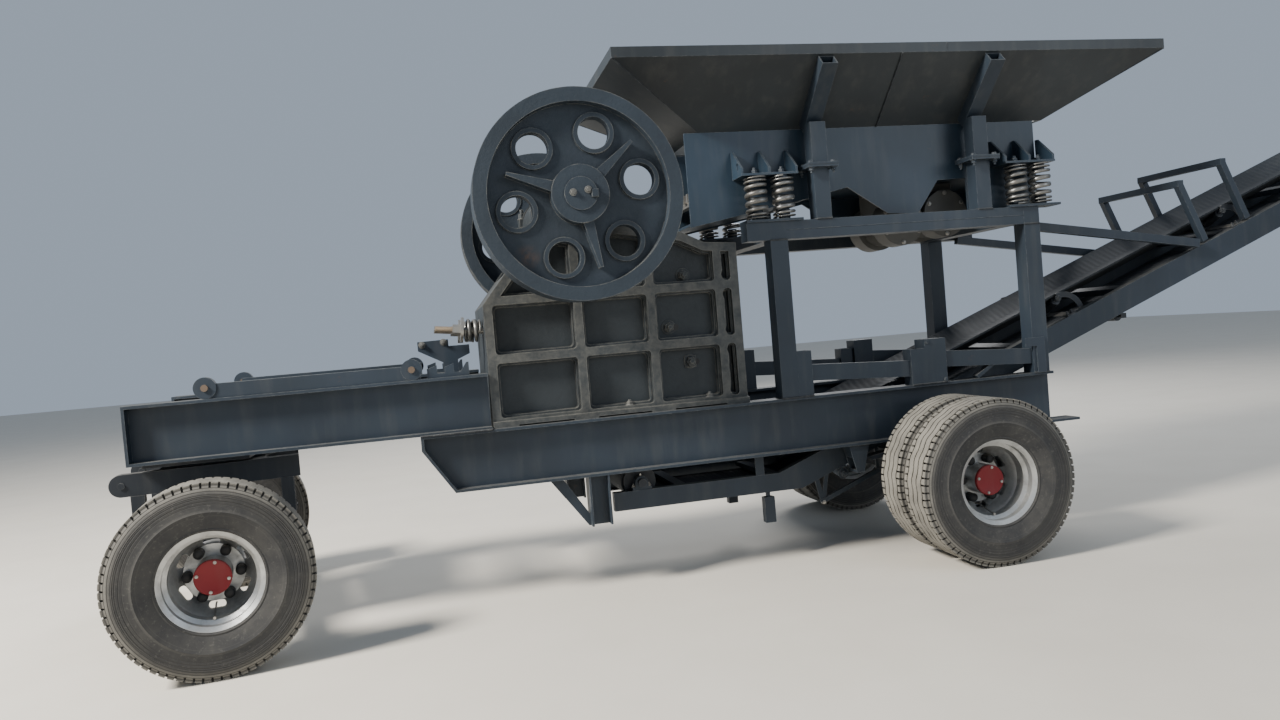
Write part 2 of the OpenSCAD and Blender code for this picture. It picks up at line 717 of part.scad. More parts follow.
// The swing jaw hangs on the eccentric, which points down at rest, so the jaw's
// orbit lies about a point one throw higher; pieces beside it stay this far off
orbit_gap = throw + 6;
ecc_z = shaft_z - throw;
ecc_r = 92;
jaw_boss_r = 165;
jaw_half = 275;
swing_top = [235, 1760];
swing_low = [555, jaw_bottom];
swing_tilt = atan2(swing_low[0] - swing_top[0], swing_top[1] - swing_low[1]);
swing_len = norm(swing_top - swing_low);
module swing_jaw() {
    color(cast_paint) in_frame() difference() {
        union() {
            along_y(0, ecc_z, -jaw_half, jaw_half, jaw_boss_r);
            side_plate([
                [-jaw_boss_r * 0.9, ecc_z - 70], [jaw_boss_r * 0.95, ecc_z + 40], swing_top + [0, 60],
                    swing_top,
                swing_low, swing_low - [100, 0], [rod_in[0] + 60, rod_in[1] - 90],
                    [toggle_front[0] + 60, toggle_front[1] - 40],
                [toggle_front[0] + seat_r, toggle_front[1] + 70]
            ], 2 * jaw_half, 0);
            for (y = [-rod_y, rod_y]) for (s = [-1, 1])
                along_y(rod_in[0], rod_in[1] - throw, y + s * 45 - 12, y + s * 45 + 12, 62);
        }
        along_y(0, ecc_z, -jaw_half - cut, jaw_half + cut, ecc_r + running);
        along_y(toggle_front[0], toggle_front[1] - throw, -jaw_half - cut, jaw_half + cut, seat_r + orbit_gap);
        for (y = [-rod_y, rod_y]) translate([rod_in[0] - 140, y - 33, rod_in[1] - throw - 72])
            cube([212, 66, 144]);
    }
    color(cast_paint) in_frame() for (y = [-rod_y, rod_y])
        along_y(rod_in[0], rod_in[1] - throw, y - 50, y + 50, rod_r);
}
module swing_jaw_plate() {
    color(bare_steel) in_frame()
        translate([swing_low[0] + seat, 0, swing_low[1]]) rotate([0, -swing_tilt, 0])
            translate([jaw_plate_t, 0, 0]) mirror([1, 0, 0]) toothed_plate(swing_len);
}

hub_proud = 12;
end_plate_r = 80;
end_plate_t = 10;
shaft_end = flywheel_y + hub_proud + seat;
module eccentric_shaft() {
    color(bare_steel) in_frame() {
        along_y(0, shaft_z, -shaft_end, shaft_end, shaft_d / 2 - 10);
        both_sides() along_y(0, shaft_z, -shaft_end - end_plate_t, -shaft_end, end_plate_r);
        along_y(0, shaft_z, -rib_face_y - 60, rib_face_y + 60, shaft_d / 2);
        along_y(0, ecc_z, -jaw_half - 10, jaw_half + 10, ecc_r);
    }
}

cap_h = 165;
module bearing_housings() {
    color(cast_paint) in_frame() both_sides() difference() {
        union() {
            along_y(0, shaft_z, -rib_face_y - 40, -side_inner, bearing_r);
            along_y(0, shaft_z, -rib_face_y - 40, -rib_face_y - seat, bearing_r + 25);
            translate([-bearing_r - 35, -rib_face_y, shaft_z + seat])
                cube([2 * bearing_r + 70, rib_depth + side_plate_t, 50]);
            intersection() {
                along_y(0, shaft_z, -rib_face_y, -side_inner, cap_h);
                translate([-cap_h, -rib_face_y, shaft_z + seat])
                    cube([2 * cap_h, rib_depth + side_plate_t, cap_h]);
            }
        }
        along_y(0, shaft_z, -rib_face_y - 60, -side_inner + cut, shaft_d / 2 + running);
    }
}

hole_circle_r = 310;
spoke_angles = [42, 162, 282];
wheel_hub_r = 140;
shaft_end_r = shaft_d / 2 - 10;
// A flywheel around Y with its outer face at zero, its body towards +Y
module flywheel(grooved) {
    rim_in = flywheel_d / 2 - 68;
    web_in = 55;
    web_thick = 45;
    rotate([-90, 0, 0]) difference() {
        union() {
            rotate_extrude($fn = 128) difference() {
                union() {
                    translate([rim_in, 0]) square([flywheel_d / 2 - rim_in, flywheel_w]);
                    translate([shaft_end_r + 30, web_in]) square([rim_in - shaft_end_r - 20, web_thick]);
                    translate([shaft_end_r + running, -hub_proud])
                        square([wheel_hub_r - shaft_end_r, flywheel_w + hub_proud]);
                }
                if (grooved) for (k = [0:4]) translate([flywheel_d / 2, 30 + 30 * k])
                    polygon([[1, -10], [1, 10], [-20, 5], [-20, -5]]);
            }
            for (k = [0:5]) rotate([0, 0, 60 * k - 12]) translate([hole_circle_r, 0, web_in - 14])
                cylinder(h = web_thick + 20, r = flywheel_hole_d / 2 + 22, $fn = 64);
            for (a = spoke_angles) rotate([0, 0, -a]) linear_extrude(web_in + 10)
                polygon([[wheel_hub_r - 20, -28], [wheel_hub_r - 20, 28], [362, 8], [362, -8]]);
        }
        for (k = [0:5]) rotate([0, 0, 60 * k - 12]) translate([hole_circle_r, 0, -cut])
            cylinder(h = flywheel_w, r = flywheel_hole_d / 2, $fn = 64);
        translate([0, 0, -20]) cylinder(h = flywheel_w + 40, r = shaft_end_r + running, $fn = 64);
    }
}
module flywheel_near() {
    color(cast_paint) in_frame() translate([0, -flywheel_y, shaft_z]) flywheel(false);
}
module flywheel_far() {
    color(cast_paint) in_frame() mirror([0, 1, 0]) translate([0, -flywheel_y, shaft_z]) flywheel(true);
}

/* Toggle and tension gear */

module toggle_plate() {
    color(cast_paint) in_frame() {
        for (p = [toggle_rear, toggle_front]) along_y(p[0], p[1], -toggle_half, toggle_half, seat_r);
        side_plate([
            toggle_rear + [0, 16], toggle_front + [0, 16], toggle_front - [0, 16], toggle_rear - [0, 16]
        ], 2 * toggle_half, 0);
    }
}

rod_eye_r = rod_r + orbit_gap;
washer_r = 68;
washer_t = 15;
nut_r = 29;
nut_h = 42;
// Length of thread that stands out of the nut
rod_tip = 95;
module tension_rods() {
    len = norm(rod_out - rod_in);
    color(bare_steel) in_frame() for (y = [-rod_y, rod_y]) difference() {
        union() {
            rod_line(y, rod_r, 0);
            along_y(rod_in[0], rod_in[1], y - 20, y + 20, rod_eye_r + 16);
            translate([rod_in[0], y, rod_in[1]]) rotate([0, -90 + rod_tilt, 0]) {
                translate([0, 0, len - rod_tip - nut_h - washer_t]) cylinder(h = washer_t, r = washer_r, $fn = 48);
                translate([0, 0, len - rod_tip - nut_h - cut]) cylinder(h = nut_h + cut, r = nut_r, $fn = 6);
            }
        }
        along_y(rod_in[0], rod_in[1], y - 30, y + 30, rod_eye_r);
    }
}

// A coil spring standing on z = 0 as one closed tube, n turns, its ends flat
module coil(r, wire_r, h, turns, per_turn = 12, sides = 6) {
    steps = turns * per_turn;
    pts = [for (i = [0:steps], k = [0:sides - 1])
        let (a = 360 * i / per_turn, b = 360 * k / sides, q = r + wire_r * cos(b))
        [q * cos(a), q * sin(a), wire_r + (h - 2 * wire_r) * i / steps + wire_r * sin(b)]];
    walls = [for (i = [0:steps - 1], k = [0:sides - 1])
        let (n = (k + 1) % sides, a = i * sides + k, b = i * sides + n)
        each [[a, b, a + sides], [b, b + sides, a + sides]]];
    ends = [[for (k = [sides - 1:-1:0]) k], [for (k = [0:sides - 1]) steps * sides + k]];
    polyhedron(points = pts, faces = concat(walls, ends), convexity = 8);
}

rod_len = norm(rod_out - rod_in);
wall_cross = (rod_in[0] - crusher_left) / cos(rod_tilt);
tension_spring_r = 53;
tension_wire_r = 8;
tension_seat = 9;
module tension_springs() {
    h = rod_len - rod_tip - nut_h - washer_t - wall_cross - tension_seat - seat;
    color(bare_steel) in_frame() for (y = [-rod_y, rod_y])
        translate([rod_in[0], y, rod_in[1]]) rotate([0, -90 + rod_tilt, 0])
            translate([0, 0, wall_cross + tension_seat]) coil(tension_spring_r, tension_wire_r, h, 3);
}

/* Feeder */

trough_wall = 10;
trough_half = trough_w / 2 + trough_wall;
trough_back_z = 1885;
trough_floor_z = 2090;
motor_plate = [[1634, 2067], [1877, 1906], [2067, 1896], [2205, 2081]];
window_right = 2390;
trough_knee = [1387, 2015];
trough_outline = concat(
    [[trough_left, trough_top], [trough_left, 1890], trough_knee], motor_plate,
    [[window_right, 2084], [window_right, trough_back_z], [trough_right, trough_back_z],
        [trough_right, trough_top]]
);
deck_t = 12;
spring_left_x = [1036, 1192];
spring_right_x = [2640, 2795];
bracket_left_x = 950;
bracket_right_x = 2554;
bracket_len = 326;
bracket_z = 2135;
bracket_t = 12;
module spring_bracket(x) {
    translate([x, -post_y + 10, bracket_z]) cube([bracket_len, post_y - trough_half, bracket_t]);
    difference() {
        for (k = [0:2]) translate([x + k * (bracket_len - bracket_t) / 2, 0, 0]) gusset();
        translate([x - cut, -post_y + 60, bracket_z + bracket_t + 22]) rotate([90, 0, 90])
            linear_extrude(bracket_t + 2 * cut) rounded(26, 44, 12.9);
    }
}
module trough() {
    color(paint) in_frame() {
        both_sides() side_plate(trough_outline, trough_wall, -trough_half + trough_wall / 2);
        translate([trough_knee[0], -trough_half, trough_floor_z])
            cube([trough_right - trough_knee[0], 2 * trough_half, deck_t]);
        translate([trough_right - trough_wall, -trough_half, trough_back_z])
            cube([trough_wall, 2 * trough_half, trough_top - trough_back_z]);
        strip([trough_left, 1900], [trough_knee[0], trough_knee[1] + 10], deck_t, 2 * trough_half, 0);
        translate([trough_knee[0] - deck_t, -trough_half, trough_knee[1]])
            cube([deck_t, 2 * trough_half, trough_floor_z + deck_t - trough_knee[1]]);
        both_sides() for (x = [bracket_left_x, bracket_right_x]) spring_bracket(x);
    }
}
// A three-cornered gusset between a spring bracket and the trough wall
module gusset() {
    translate([0, 0, bracket_z + bracket_t]) rotate([90, 0, 90]) linear_extrude(bracket_t)
        polygon([[-post_y + 15, -1], [-trough_half + 2, -1], [-trough_half + 2, 140],
            [-trough_half - 20, 140], [-post_y + 15, 30]]);
}

bar_count = 8;
bar_left = [trough_left + 50, trough_floor_z - 30];
bar_right = [trough_left + 570, trough_floor_z + 20];
bar_h = 45;
bar_tie = 40;
module grizzly_bars() {
    color(bare_steel) in_frame() {
        pitch = trough_w / bar_count;
        for (i = [0:bar_count - 1]) translate([0, -trough_w / 2 + (i + 0.5) * pitch, 0])
            side_plate([bar_left, bar_right, bar_right + [0, bar_h], bar_left + [0, bar_h]], 30, 0);
        for (p = [bar_left + [20, 5], bar_right - [20 + bar_tie, 10]])
            translate([p[0], -trough_w / 2 + seat, p[1] - bar_tie + 12])
            cube([bar_tie, trough_w - 2 * seat, bar_tie]);
    }
}

motor_r = 140;
motor_half = 210;
module vibrating_motors() {
    color(dark_paint) in_frame() for (p = [[2318, 1900], [2028, 1865]]) {
        along_y(p[0], p[1], -motor_half, motor_half, motor_r * 0.75);
        for (s = [-1, 1]) along_y(p[0], p[1], s * (motor_half - 60) - 60, s * (motor_half - 60) + 60, motor_r);
        translate([p[0] - 100, -120, p[1]]) cube([200, 240, trough_floor_z - p[1] - seat]);
    }
}

pad_t = 12;
spring_h = bracket_z - rail_top - 2 * seat - pad_t;
module feeder_springs() {
    color(dark_paint) in_frame() both_sides() {
        for (x = concat(spring_left_x, spring_right_x))
            translate([x, -post_y + post_side / 2, rail_top + pad_t + seat])
                coil(spring_d / 2 - spring_wire / 2, spring_wire / 2, spring_h, 6, 12, 6);
    }
}

plate = 8;
hopper_low = trough_top + seat;
low_left = 771;
low_right = 2920;
// The sloping sheets end at the foot of an upright lip
lip_h = 45;
lip_foot = hopper_top - lip_h;
module hopper() {
    color(paint) in_frame() {
        // Long sides
        both_sides() hull() {
            translate([low_left, -trough_half, hopper_low]) cube([low_right - low_left, plate, plate]);
            translate([hopper_left, -hopper_rim_y, lip_foot - plate])
                cube([hopper_right - hopper_left, plate, plate]);
        }
        // Ends
        hull() {
            translate([low_left, -trough_half + plate, hopper_low])
                cube([plate, 2 * (trough_half - plate), plate]);
            translate([hopper_left, -hopper_rim_y + plate, lip_foot - plate])
                cube([plate, 2 * (hopper_rim_y - plate), plate]);
        }
        hull() {
            translate([low_right - plate, -trough_half + plate, hopper_low])
                cube([plate, 2 * (trough_half - plate), plate]);
            translate([hopper_right - plate, -hopper_rim_y + plate, lip_foot - plate])
                cube([plate, 2 * (hopper_rim_y - plate), plate]);
        }
        // Lip
        difference() {
            translate([hopper_left, -hopper_rim_y, lip_foot - plate])
                cube([hopper_right - hopper_left, 2 * hopper_rim_y, lip_h + plate]);
            translate([hopper_left + plate, -hopper_rim_y + plate, lip_foot - plate - cut])
                cube([hopper_right - hopper_left - 2 * plate, 2 * (hopper_rim_y - plate),
                    lip_h + plate + 2 * cut]);
        }
    }
}

leg_side = 90;
leg_wall = 6;
flange_out = 42;
flange_pair = 24;
hopper_leg_x = [1360, 2350];
leg_face = post_y;
// The hopper's sloping underside, from the trough's edge outwards
slope_in = [-trough_half, hopper_low];
slope_out = [-hopper_rim_y, lip_foot - plate];
hopper_tilt = atan2(slope_out[1] - slope_in[1], slope_in[0] - slope_out[0]);
function hopper_under(y) = hopper_low + (y - trough_half) * tan(hopper_tilt);
arm_depth = 70;
arm_start = 25;
arm_len = 430;
// A tube that lies along the underside, open at its outer end
module hopper_arm() {
    translate([0, slope_in[0], slope_in[1]]) rotate([-hopper_tilt, 0, 0]) difference() {
        translate([0, -arm_start - arm_len, -arm_depth - seat]) cube([leg_side, arm_len, arm_depth]);
        translate([leg_wall, -arm_start - arm_len - cut, -arm_depth - seat + leg_wall])
            cube([leg_side - 2 * leg_wall, 120, arm_depth - 2 * leg_wall]);
    }
}
module hopper_legs() {
    color(paint) in_frame() both_sides() for (x = hopper_leg_x) {
        top = hopper_under(leg_face - leg_side) - arm_depth / cos(hopper_tilt) + 30;
        translate([x, -leg_face, rail_top + seat]) cube([leg_side, leg_side, top - rail_top - seat]);
        translate([x - flange_out, -leg_face - flange_out, leg_joint_z - flange_pair / 2])
            cube([leg_side + 2 * flange_out, leg_side + 2 * flange_out, flange_pair]);
        translate([x, 0, 0]) hopper_arm();
    }
}

/* Feeder frame */

front_post_x = 1080;
// The near rear post runs up past the rail's end, and the far one stands under its rail
near_post_x = 2640;
far_post_x = 2547;
rail_z = rail_top - post_side;
foot_z = rear_beam_top + seat;
low_post_h = 250;
low_bar_z = 998;
low_bar_h = 89;
low_bar_drop = 32;
low_bar_w = 60;
low_bar_y = -post_y + 45;
box_x = 1949;
box_w = 131;
box_h = 252;
// The low frame on one beam, from the front post to the post at end_x
module low_frame(end_x) {
    first_x = front_post_x + post_side + seat;
    second_x = 1860;
    post(first_x, -post_y, foot_z, foot_z + low_post_h, 84);
    strip([first_x + 83, low_bar_z], [second_x + 2, low_bar_z - low_bar_drop], low_bar_h, low_bar_w, low_bar_y);
    post(second_x, -post_y, foot_z, foot_z + low_post_h - 47, 90);
    translate([box_x, -post_y, foot_z]) cube([box_w, post_side + 10, box_h]);
    strip([box_x + box_w - 1, low_bar_z + 4], [end_x - seat - 5, low_bar_z + 4 - low_bar_drop], low_bar_h,
        low_bar_w, low_bar_y);
    strip([2290, foot_z], [2395, low_bar_z - 16], 20, 46, low_bar_y);
}
// An angle plate round the foot of the near rear post
module foot_plate() {
    side_plate([
        [near_post_x + 20, foot_z], [near_post_x + 74, foot_z], [near_post_x + 74, foot_z + 204],
        [near_post_x - 51, foot_z + 204], [near_post_x - 51, foot_z + 155], [near_post_x + 20, foot_z + 155]
    ], 8, -post_y - seat - 4);
}
module frame_posts() {
    color(paint) in_frame() {
        both_sides() post(front_post_x, -post_y, foot_z, rail_z - seat, post_side);
        post(near_post_x, -post_y, foot_z, rail_top - 1 - seat, post_side);
        mirror([0, 1, 0]) post(far_post_x, -post_y, foot_z, rail_z - seat, post_side);
        low_frame(near_post_x);
        mirror([0, 1, 0]) low_frame(far_post_x);
        foot_plate();
    }
}
module frame_rail(end_x) {
    translate([bracket_left_x, -post_y, rail_z]) cube([end_x - bracket_left_x, post_side, post_side]);
    for (x = [bracket_left_x, bracket_right_x]) translate([x, -post_y - 15, rail_top - 1])
        cube([bracket_len, post_side + 30, pad_t + 1]);
}
module frame_rails() {
    color(paint) in_frame() {
        frame_rail(near_post_x - seat);
        mirror([0, 1, 0]) frame_rail(bracket_right_x + bracket_len);
        for (x = [front_post_x, far_post_x - 20]) translate([x, -post_y + post_side - 1, rail_z])
            cube([post_side, 2 * (post_y - post_side) + 2, post_side - 20]);
    }
}

/* Conveyor */

run = tan(slope);
channel_v = channel_h / cos(slope);
tail_channel_h = 100;
tail_frame_z = 390;
// Bottom line of the sloping channels: height at x
function channel_low(x) = 1000 + (x - 2826) * run;
bend_low = 2826 + (tail_frame_z - 1000) / run;
bend_top = 2826 + (tail_frame_z + tail_channel_h - 1000 - channel_v) / run;
tail_end = 130;
head_frame_end = head_x + 50;
channel_outline = [
    [tail_end, tail_frame_z], [bend_low, tail_frame_z], [head_frame_end, channel_low(head_frame_end)],
    [head_frame_end, channel_low(head_frame_end) + channel_v], [bend_top, tail_frame_z + tail_channel_h],
    [tail_end, tail_frame_z + tail_channel_h]
];
channel_t = 6;
drum_shaft_r = 22;
channel_flange = 50;
bearing_half = 52;
bearing_top = 36;
// A bearing on top of the tail channel
module tail_bearing() {
    foot = tail_frame_z + tail_channel_h - 1;
    difference() {
        union() {
            along_y(tail_x, tail_drum_z, -conveyor_y + 4, -conveyor_y + 44, bearing_top);
            translate([tail_x - bearing_half, -conveyor_y + 4, foot]) cube([2 * bearing_half, 40, 18]);
            translate([tail_x - bearing_top, -conveyor_y + 4, foot])
                cube([2 * bearing_top, 40, tail_drum_z - foot]);
        }
        along_y(tail_x, tail_drum_z, -conveyor_y, -conveyor_y + 50, drum_shaft_r + running);
    }
}
// A flanged bearing on the outside of the sloping channel
module head_bearing() {
    difference() {
        union() {
            translate([head_x, -conveyor_y + 1, head_drum_z]) rotate([90, -slope, 0])
                translate([-bearing_half, -42, 0])
                linear_extrude(16) rounded(2 * bearing_half, 84, 20);
            along_y(head_x, head_drum_z, -conveyor_y - 38, -conveyor_y, bearing_top);
        }
        along_y(head_x, head_drum_z, -conveyor_y - 50, -conveyor_y + 10, drum_shaft_r + running);
    }
}
// A short leg that hangs under the tail channel on a neck
module stub_leg() {
    y = -conveyor_y + channel_flange / 2;
    translate([1001, y - 10, 360]) cube([20, 20, tail_frame_z - 359]);
    translate([982, y - 25, 220]) cube([59, 50, 142]);
}
// Two straps that meet below the channel's bend, and a stay under the slope
stay_foot = [1340, 288];
stay_end = 1700;
stay_y = -conveyor_y + channel_flange / 2;
module stay() {
    strap_top = tail_frame_z + channel_t - 1;
    end = [stay_end, stay_foot[1] + (stay_end - stay_foot[0]) * run];
    for (x = [1308, 1372]) side_plate([
        stay_foot - [14, 0], stay_foot + [14, 0], [x + 12,
            channel_low(x + 12) > strap_top ? channel_low(x + 12) + 5 : strap_top],
        [x - 12, channel_low(x - 12) > strap_top ? channel_low(x - 12) + 5 : strap_top]
    ], 10, stay_y);
    strip(stay_foot - [10, 6], end, 24, 24, stay_y);
    translate([stay_end - 20, stay_y - 5, end[1]]) cube([20, 10, channel_low(stay_end) - end[1] + 3]);
}
module conveyor_frame() {
    color(paint) in_frame() {
        both_sides() difference() {
            side_plate(channel_outline, channel_flange, -conveyor_y + channel_flange / 2);
            side_plate(inset(channel_outline, channel_t), channel_flange,
                -conveyor_y + channel_flange / 2 + channel_t);
            along_y(head_x, head_drum_z, -conveyor_y - cut, -conveyor_y + channel_t + cut, drum_shaft_r + 2);
        }
        both_sides() {
            tail_bearing();
            head_bearing();
            stub_leg();
            stay();
        }
        for (x = [500, 1050]) translate([x, -conveyor_y + 2, tail_frame_z + 60])
            cube([60, 2 * conveyor_y - 4, 30]);
        for (x = [1900, 2700, 3500, 4300, 5100, 5700])
            translate([x, -conveyor_y + 2, channel_low(x) + 70]) rotate([0, -slope, 0])
                cube([60, 2 * conveyor_y - 4, 40]);
        // Hangers from the chassis
        both_sides() for (x = [943, 1383]) {
            top = x < bend_top ? tail_frame_z + tail_channel_h : channel_low(x) + channel_v;
            translate([x, -conveyor_y + 2, top - 10]) cube([50, 8, rear_beam_z - seat - top + 10]);
            translate([x, -beam_y, rear_beam_z - seat - 8]) cube([50, beam_y - conveyor_y + 10, 8]);
        }
    }
}

belt_t = 10;
wing_deg = 25;
flat_half = 110;
wing = belt_w / 2 - flat_half;
tail_drum_z = 530;
carry_lift = 65;
// The belt's inner face turns round the drums in steps, just clear of them
wrap_step = 20;
belt_r = (drum_d / 2 + seat) / cos(wrap_step / 2);
tail_carry_z = tail_drum_z + belt_r;
tail_return_z = tail_drum_z - belt_r;
function carry_z(x) = channel_low(x) + channel_v + carry_lift;
head_drum_z = carry_z(head_x) - belt_r / cos(slope);
function return_z(x) = carry_z(x) - 2 * belt_r / cos(slope);
carry_bend = 2826 + (tail_carry_z - carry_z(2826)) / run;
return_bend = 2826 + (tail_return_z - return_z(2826)) / run;
// A station of the belt: place and outward normal in X-Z, and angle of its wings
function ring_section(p, n, wing_angle) =
    let (c = cos(wing_angle), s = sin(wing_angle),
         ys = [-flat_half - wing * c, -flat_half, flat_half, flat_half + wing * c],
         lifts = [wing * s, 0, 0, wing * s])
    concat(
        [for (k = [0:3]) [p[0] + n[0] * lifts[k], ys[k], p[1] + n[1] * lifts[k]]],
        [for (k = [3:-1:0]) [p[0] + n[0] * (lifts[k] + belt_t), ys[k], p[1] + n[1] * (lifts[k] + belt_t)]]);
function wrap(x, z, from, turn) = [for (a = [from:-wrap_step:from - turn])
    [[x + belt_r * cos(a), z + belt_r * sin(a)], [cos(a), sin(a)], 0]];
belt_stations = concat(
    wrap(tail_x, tail_drum_z, -90, 180),
    [[[tail_x + 260, tail_carry_z], [0, 1], wing_deg]],
    [[[carry_bend, tail_carry_z], [-sin(slope / 2), cos(slope / 2)], wing_deg]],
    [for (x = [2000, 3000, 4000, 5000, head_x - 300]) [[x, carry_z(x)], [-sin(slope), cos(slope)], wing_deg]],
    wrap(head_x, head_drum_z, 90 + slope, 180),
    [for (x = [4500, 3000]) [[x, return_z(x)], [sin(slope), -cos(slope)], 0]],
    [[[return_bend, tail_return_z], [sin(slope / 2), -cos(slope / 2)], 0]]
);
module belt() {
    n = len(belt_stations);
    pts = [for (s = belt_stations) each ring_section(s[0], s[1], s[2])];
    faces = [for (i = [0:n - 1], k = [0:7])
        let (j = (i + 1) % n, m = (k + 1) % 8)
        each [[i * 8 + k, j * 8 + m, i * 8 + m], [i * 8 + k, j * 8 + k, j * 8 + m]]];
    color(rubber) in_frame() polyhedron(points = pts, faces = faces, convexity = 6);
}

roller_r = 26;
idler_x = [1860, 3010, 4250, 5490];
idler_base_t = 8;
idler_base_w = 60;
idler_arm_t = 8;
wing_roller = wing - 24;
// A base across the channels with a flat roller and a tilted one on each side,
// drawn with the belt's inner face at z = 0
module idler() {
    base = -carry_lift * cos(slope) + seat;
    arm_y = flat_half + wing * cos(wing_deg) + 12;
    arm_top = wing * sin(wing_deg) + 12;
    translate([-idler_base_w / 2, -conveyor_y + 2, base])
        cube([idler_base_w, 2 * conveyor_y - 4, idler_base_t]);
    along_y(0, -roller_r - seat, -flat_half + 12, flat_half - 12, roller_r);
    both_sides() {
        along_y(0, -roller_r - seat, -flat_half - 12, -flat_half + 13, 9);
        translate([-20, -flat_half - 4, base]) cube([40, idler_arm_t, -base - roller_r + 8]);
        translate([0, -flat_half, 0]) rotate([-wing_deg, 0, 0]) {
            along_y(0, -roller_r - seat, -wing_roller, -14, roller_r);
            along_y(0, -roller_r - seat, -wing - 10, -13, 9);
        }
        // Curved arm up to the tilted roller's outer end
        translate([0, -arm_y - idler_arm_t / 2, base]) rotate([90, 0, 0]) translate([0, 0, -idler_arm_t])
            linear_extrude(idler_arm_t) difference() {
                circle(r = arm_top - base, $fn = 96);
                circle(r = arm_top - base - 34, $fn = 96);
                translate([-400, -400]) square([400, 800]);
                translate([-400, -400]) square([800, 400]);
            }
    }
}
return_r = 30;
return_x = [1900, 3400, 4900];
// A return roller hung from the channels under the belt's lower run
module return_roller(x) {
    z = return_z(x) - belt_t / cos(slope) - return_r / cos(slope) - seat;
    along_y(x, z, -belt_w / 2 - 8, belt_w / 2 + 8, return_r);
    along_y(x, z, -conveyor_y + 12, conveyor_y - 12, 10);
    both_sides() translate([x - 18, -conveyor_y + 12, z - 14])
        cube([36, 8, channel_low(x - 18) - seat - z + 14]);
}
module rollers() {
    color(dark_paint) in_frame() {
        for (x = idler_x) translate([x, 0, carry_z(x)]) rotate([0, -slope, 0]) idler();
        for (x = return_x) return_roller(x);
        for (p = [[tail_x, tail_drum_z], [head_x, head_drum_z]])
            along_y(p[0], p[1], -belt_w / 2 - 15, belt_w / 2 + 15, drum_d / 2);
        for (p = [[tail_x, tail_drum_z], [head_x, head_drum_z]]) {
            along_y(p[0], p[1], -conveyor_y - 20, conveyor_y + 20, drum_shaft_r);
        }
    }
}

hoop_x = [4047, 4373];
module conveyor_hoops() {
    color(paint) in_frame() {
        both_sides() for (x = hoop_x) {
            top = channel_low(x) + channel_v + seat;
            strip([x, top + 16], [x - 160, top + 366], 40, 40, -conveyor_y + 25);
        }
        for (x = hoop_x) translate([x - 200, -conveyor_y + 5, channel_low(x) + channel_v + 350])
            cube([40, 2 * conveyor_y - 10, 40]);
        both_sides() strip([near_post_x + post_side, 1752], [3930, channel_low(3930) + channel_v + 10],
            50, 40, -conveyor_y - 25);
    }
}

rear_beams();
front_beams();
cross_members();
deck_bars();
parking_legs();
turntable();
dolly_frame();
front_axle();
dolly_springs();
front_tyre_near();
front_rim_near();
front_tyre_far();
front_rim_far();
rear_axle();
leaf_springs();
spring_hangers();
rear_tyres_near();
rear_rims_near();
rear_tyres_far();
rear_rims_far();
side_frame_near();
side_frame_far();
front_wall();
rear_wall();
fixed_jaw_plate();
cheek_plates();
swing_jaw();
swing_jaw_plate();
eccentric_shaft();
bearing_housings();
flywheel_near();
flywheel_far();
toggle_plate();
tension_rods();
tension_springs();
trough();
grizzly_bars();
vibrating_motors();
feeder_springs();
hopper();
hopper_legs();
frame_posts();
frame_rails();
conveyor_frame();
belt();
rollers();
conveyor_hoops();
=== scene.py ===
"""Looks, fasteners and fine detail of a wheeled jaw crushing plant, laid over its CAD solids.

Every piece is modelled in the plant's own frame, in metres: X runs towards the
conveyor's high end, Y away from the camera, Z up.
"""

import json
import logging
import math
from collections.abc import Callable
from dataclasses import dataclass, field
from enum import Enum

import bmesh
import bpy
from mathutils import Matrix, Vector


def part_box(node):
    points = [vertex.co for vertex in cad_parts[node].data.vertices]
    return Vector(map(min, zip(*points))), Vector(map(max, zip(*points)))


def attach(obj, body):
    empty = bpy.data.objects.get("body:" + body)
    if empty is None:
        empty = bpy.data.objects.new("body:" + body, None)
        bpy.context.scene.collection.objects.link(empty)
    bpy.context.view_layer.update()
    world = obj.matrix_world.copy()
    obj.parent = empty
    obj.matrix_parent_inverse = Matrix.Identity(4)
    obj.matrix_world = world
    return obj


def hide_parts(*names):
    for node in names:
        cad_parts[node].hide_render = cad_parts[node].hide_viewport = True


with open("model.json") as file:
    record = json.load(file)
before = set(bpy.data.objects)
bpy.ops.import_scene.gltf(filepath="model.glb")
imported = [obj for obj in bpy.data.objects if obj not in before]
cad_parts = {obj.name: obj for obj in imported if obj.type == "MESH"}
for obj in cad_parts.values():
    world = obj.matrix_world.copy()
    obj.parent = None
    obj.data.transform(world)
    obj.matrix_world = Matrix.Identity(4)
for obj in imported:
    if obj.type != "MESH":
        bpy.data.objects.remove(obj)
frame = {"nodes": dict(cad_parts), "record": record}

LOG = logging.getLogger("crusher")
SHAFT_X = sum(c.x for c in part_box("eccentric_shaft")) / 2
STEER = math.radians(8.0)
UP = (0, 0, 1)
DOWN = (0, 0, -1)

Colour = tuple[float, float, float]
Point = tuple[float, float, float]
Places = list[Matrix]
Piece = bpy.types.Object
Material = bpy.types.Material
Socket = bpy.types.NodeSocket


# Places


def along(mm: float) -> float:
    """Place along the plant, in metres, of a point that many millimetres behind the crusher shaft."""
    return SHAFT_X + mm / 1000


def spot(x: float, y: float, z: float) -> Point:
    """Point in millimetres behind the crusher shaft, across from the centre line and above ground."""
    return (along(x), y / 1000, z / 1000)


def heading(angle: float) -> Vector:
    """Direction along the plant, rising by an angle."""
    return Vector((math.cos(angle), 0, math.sin(angle)))


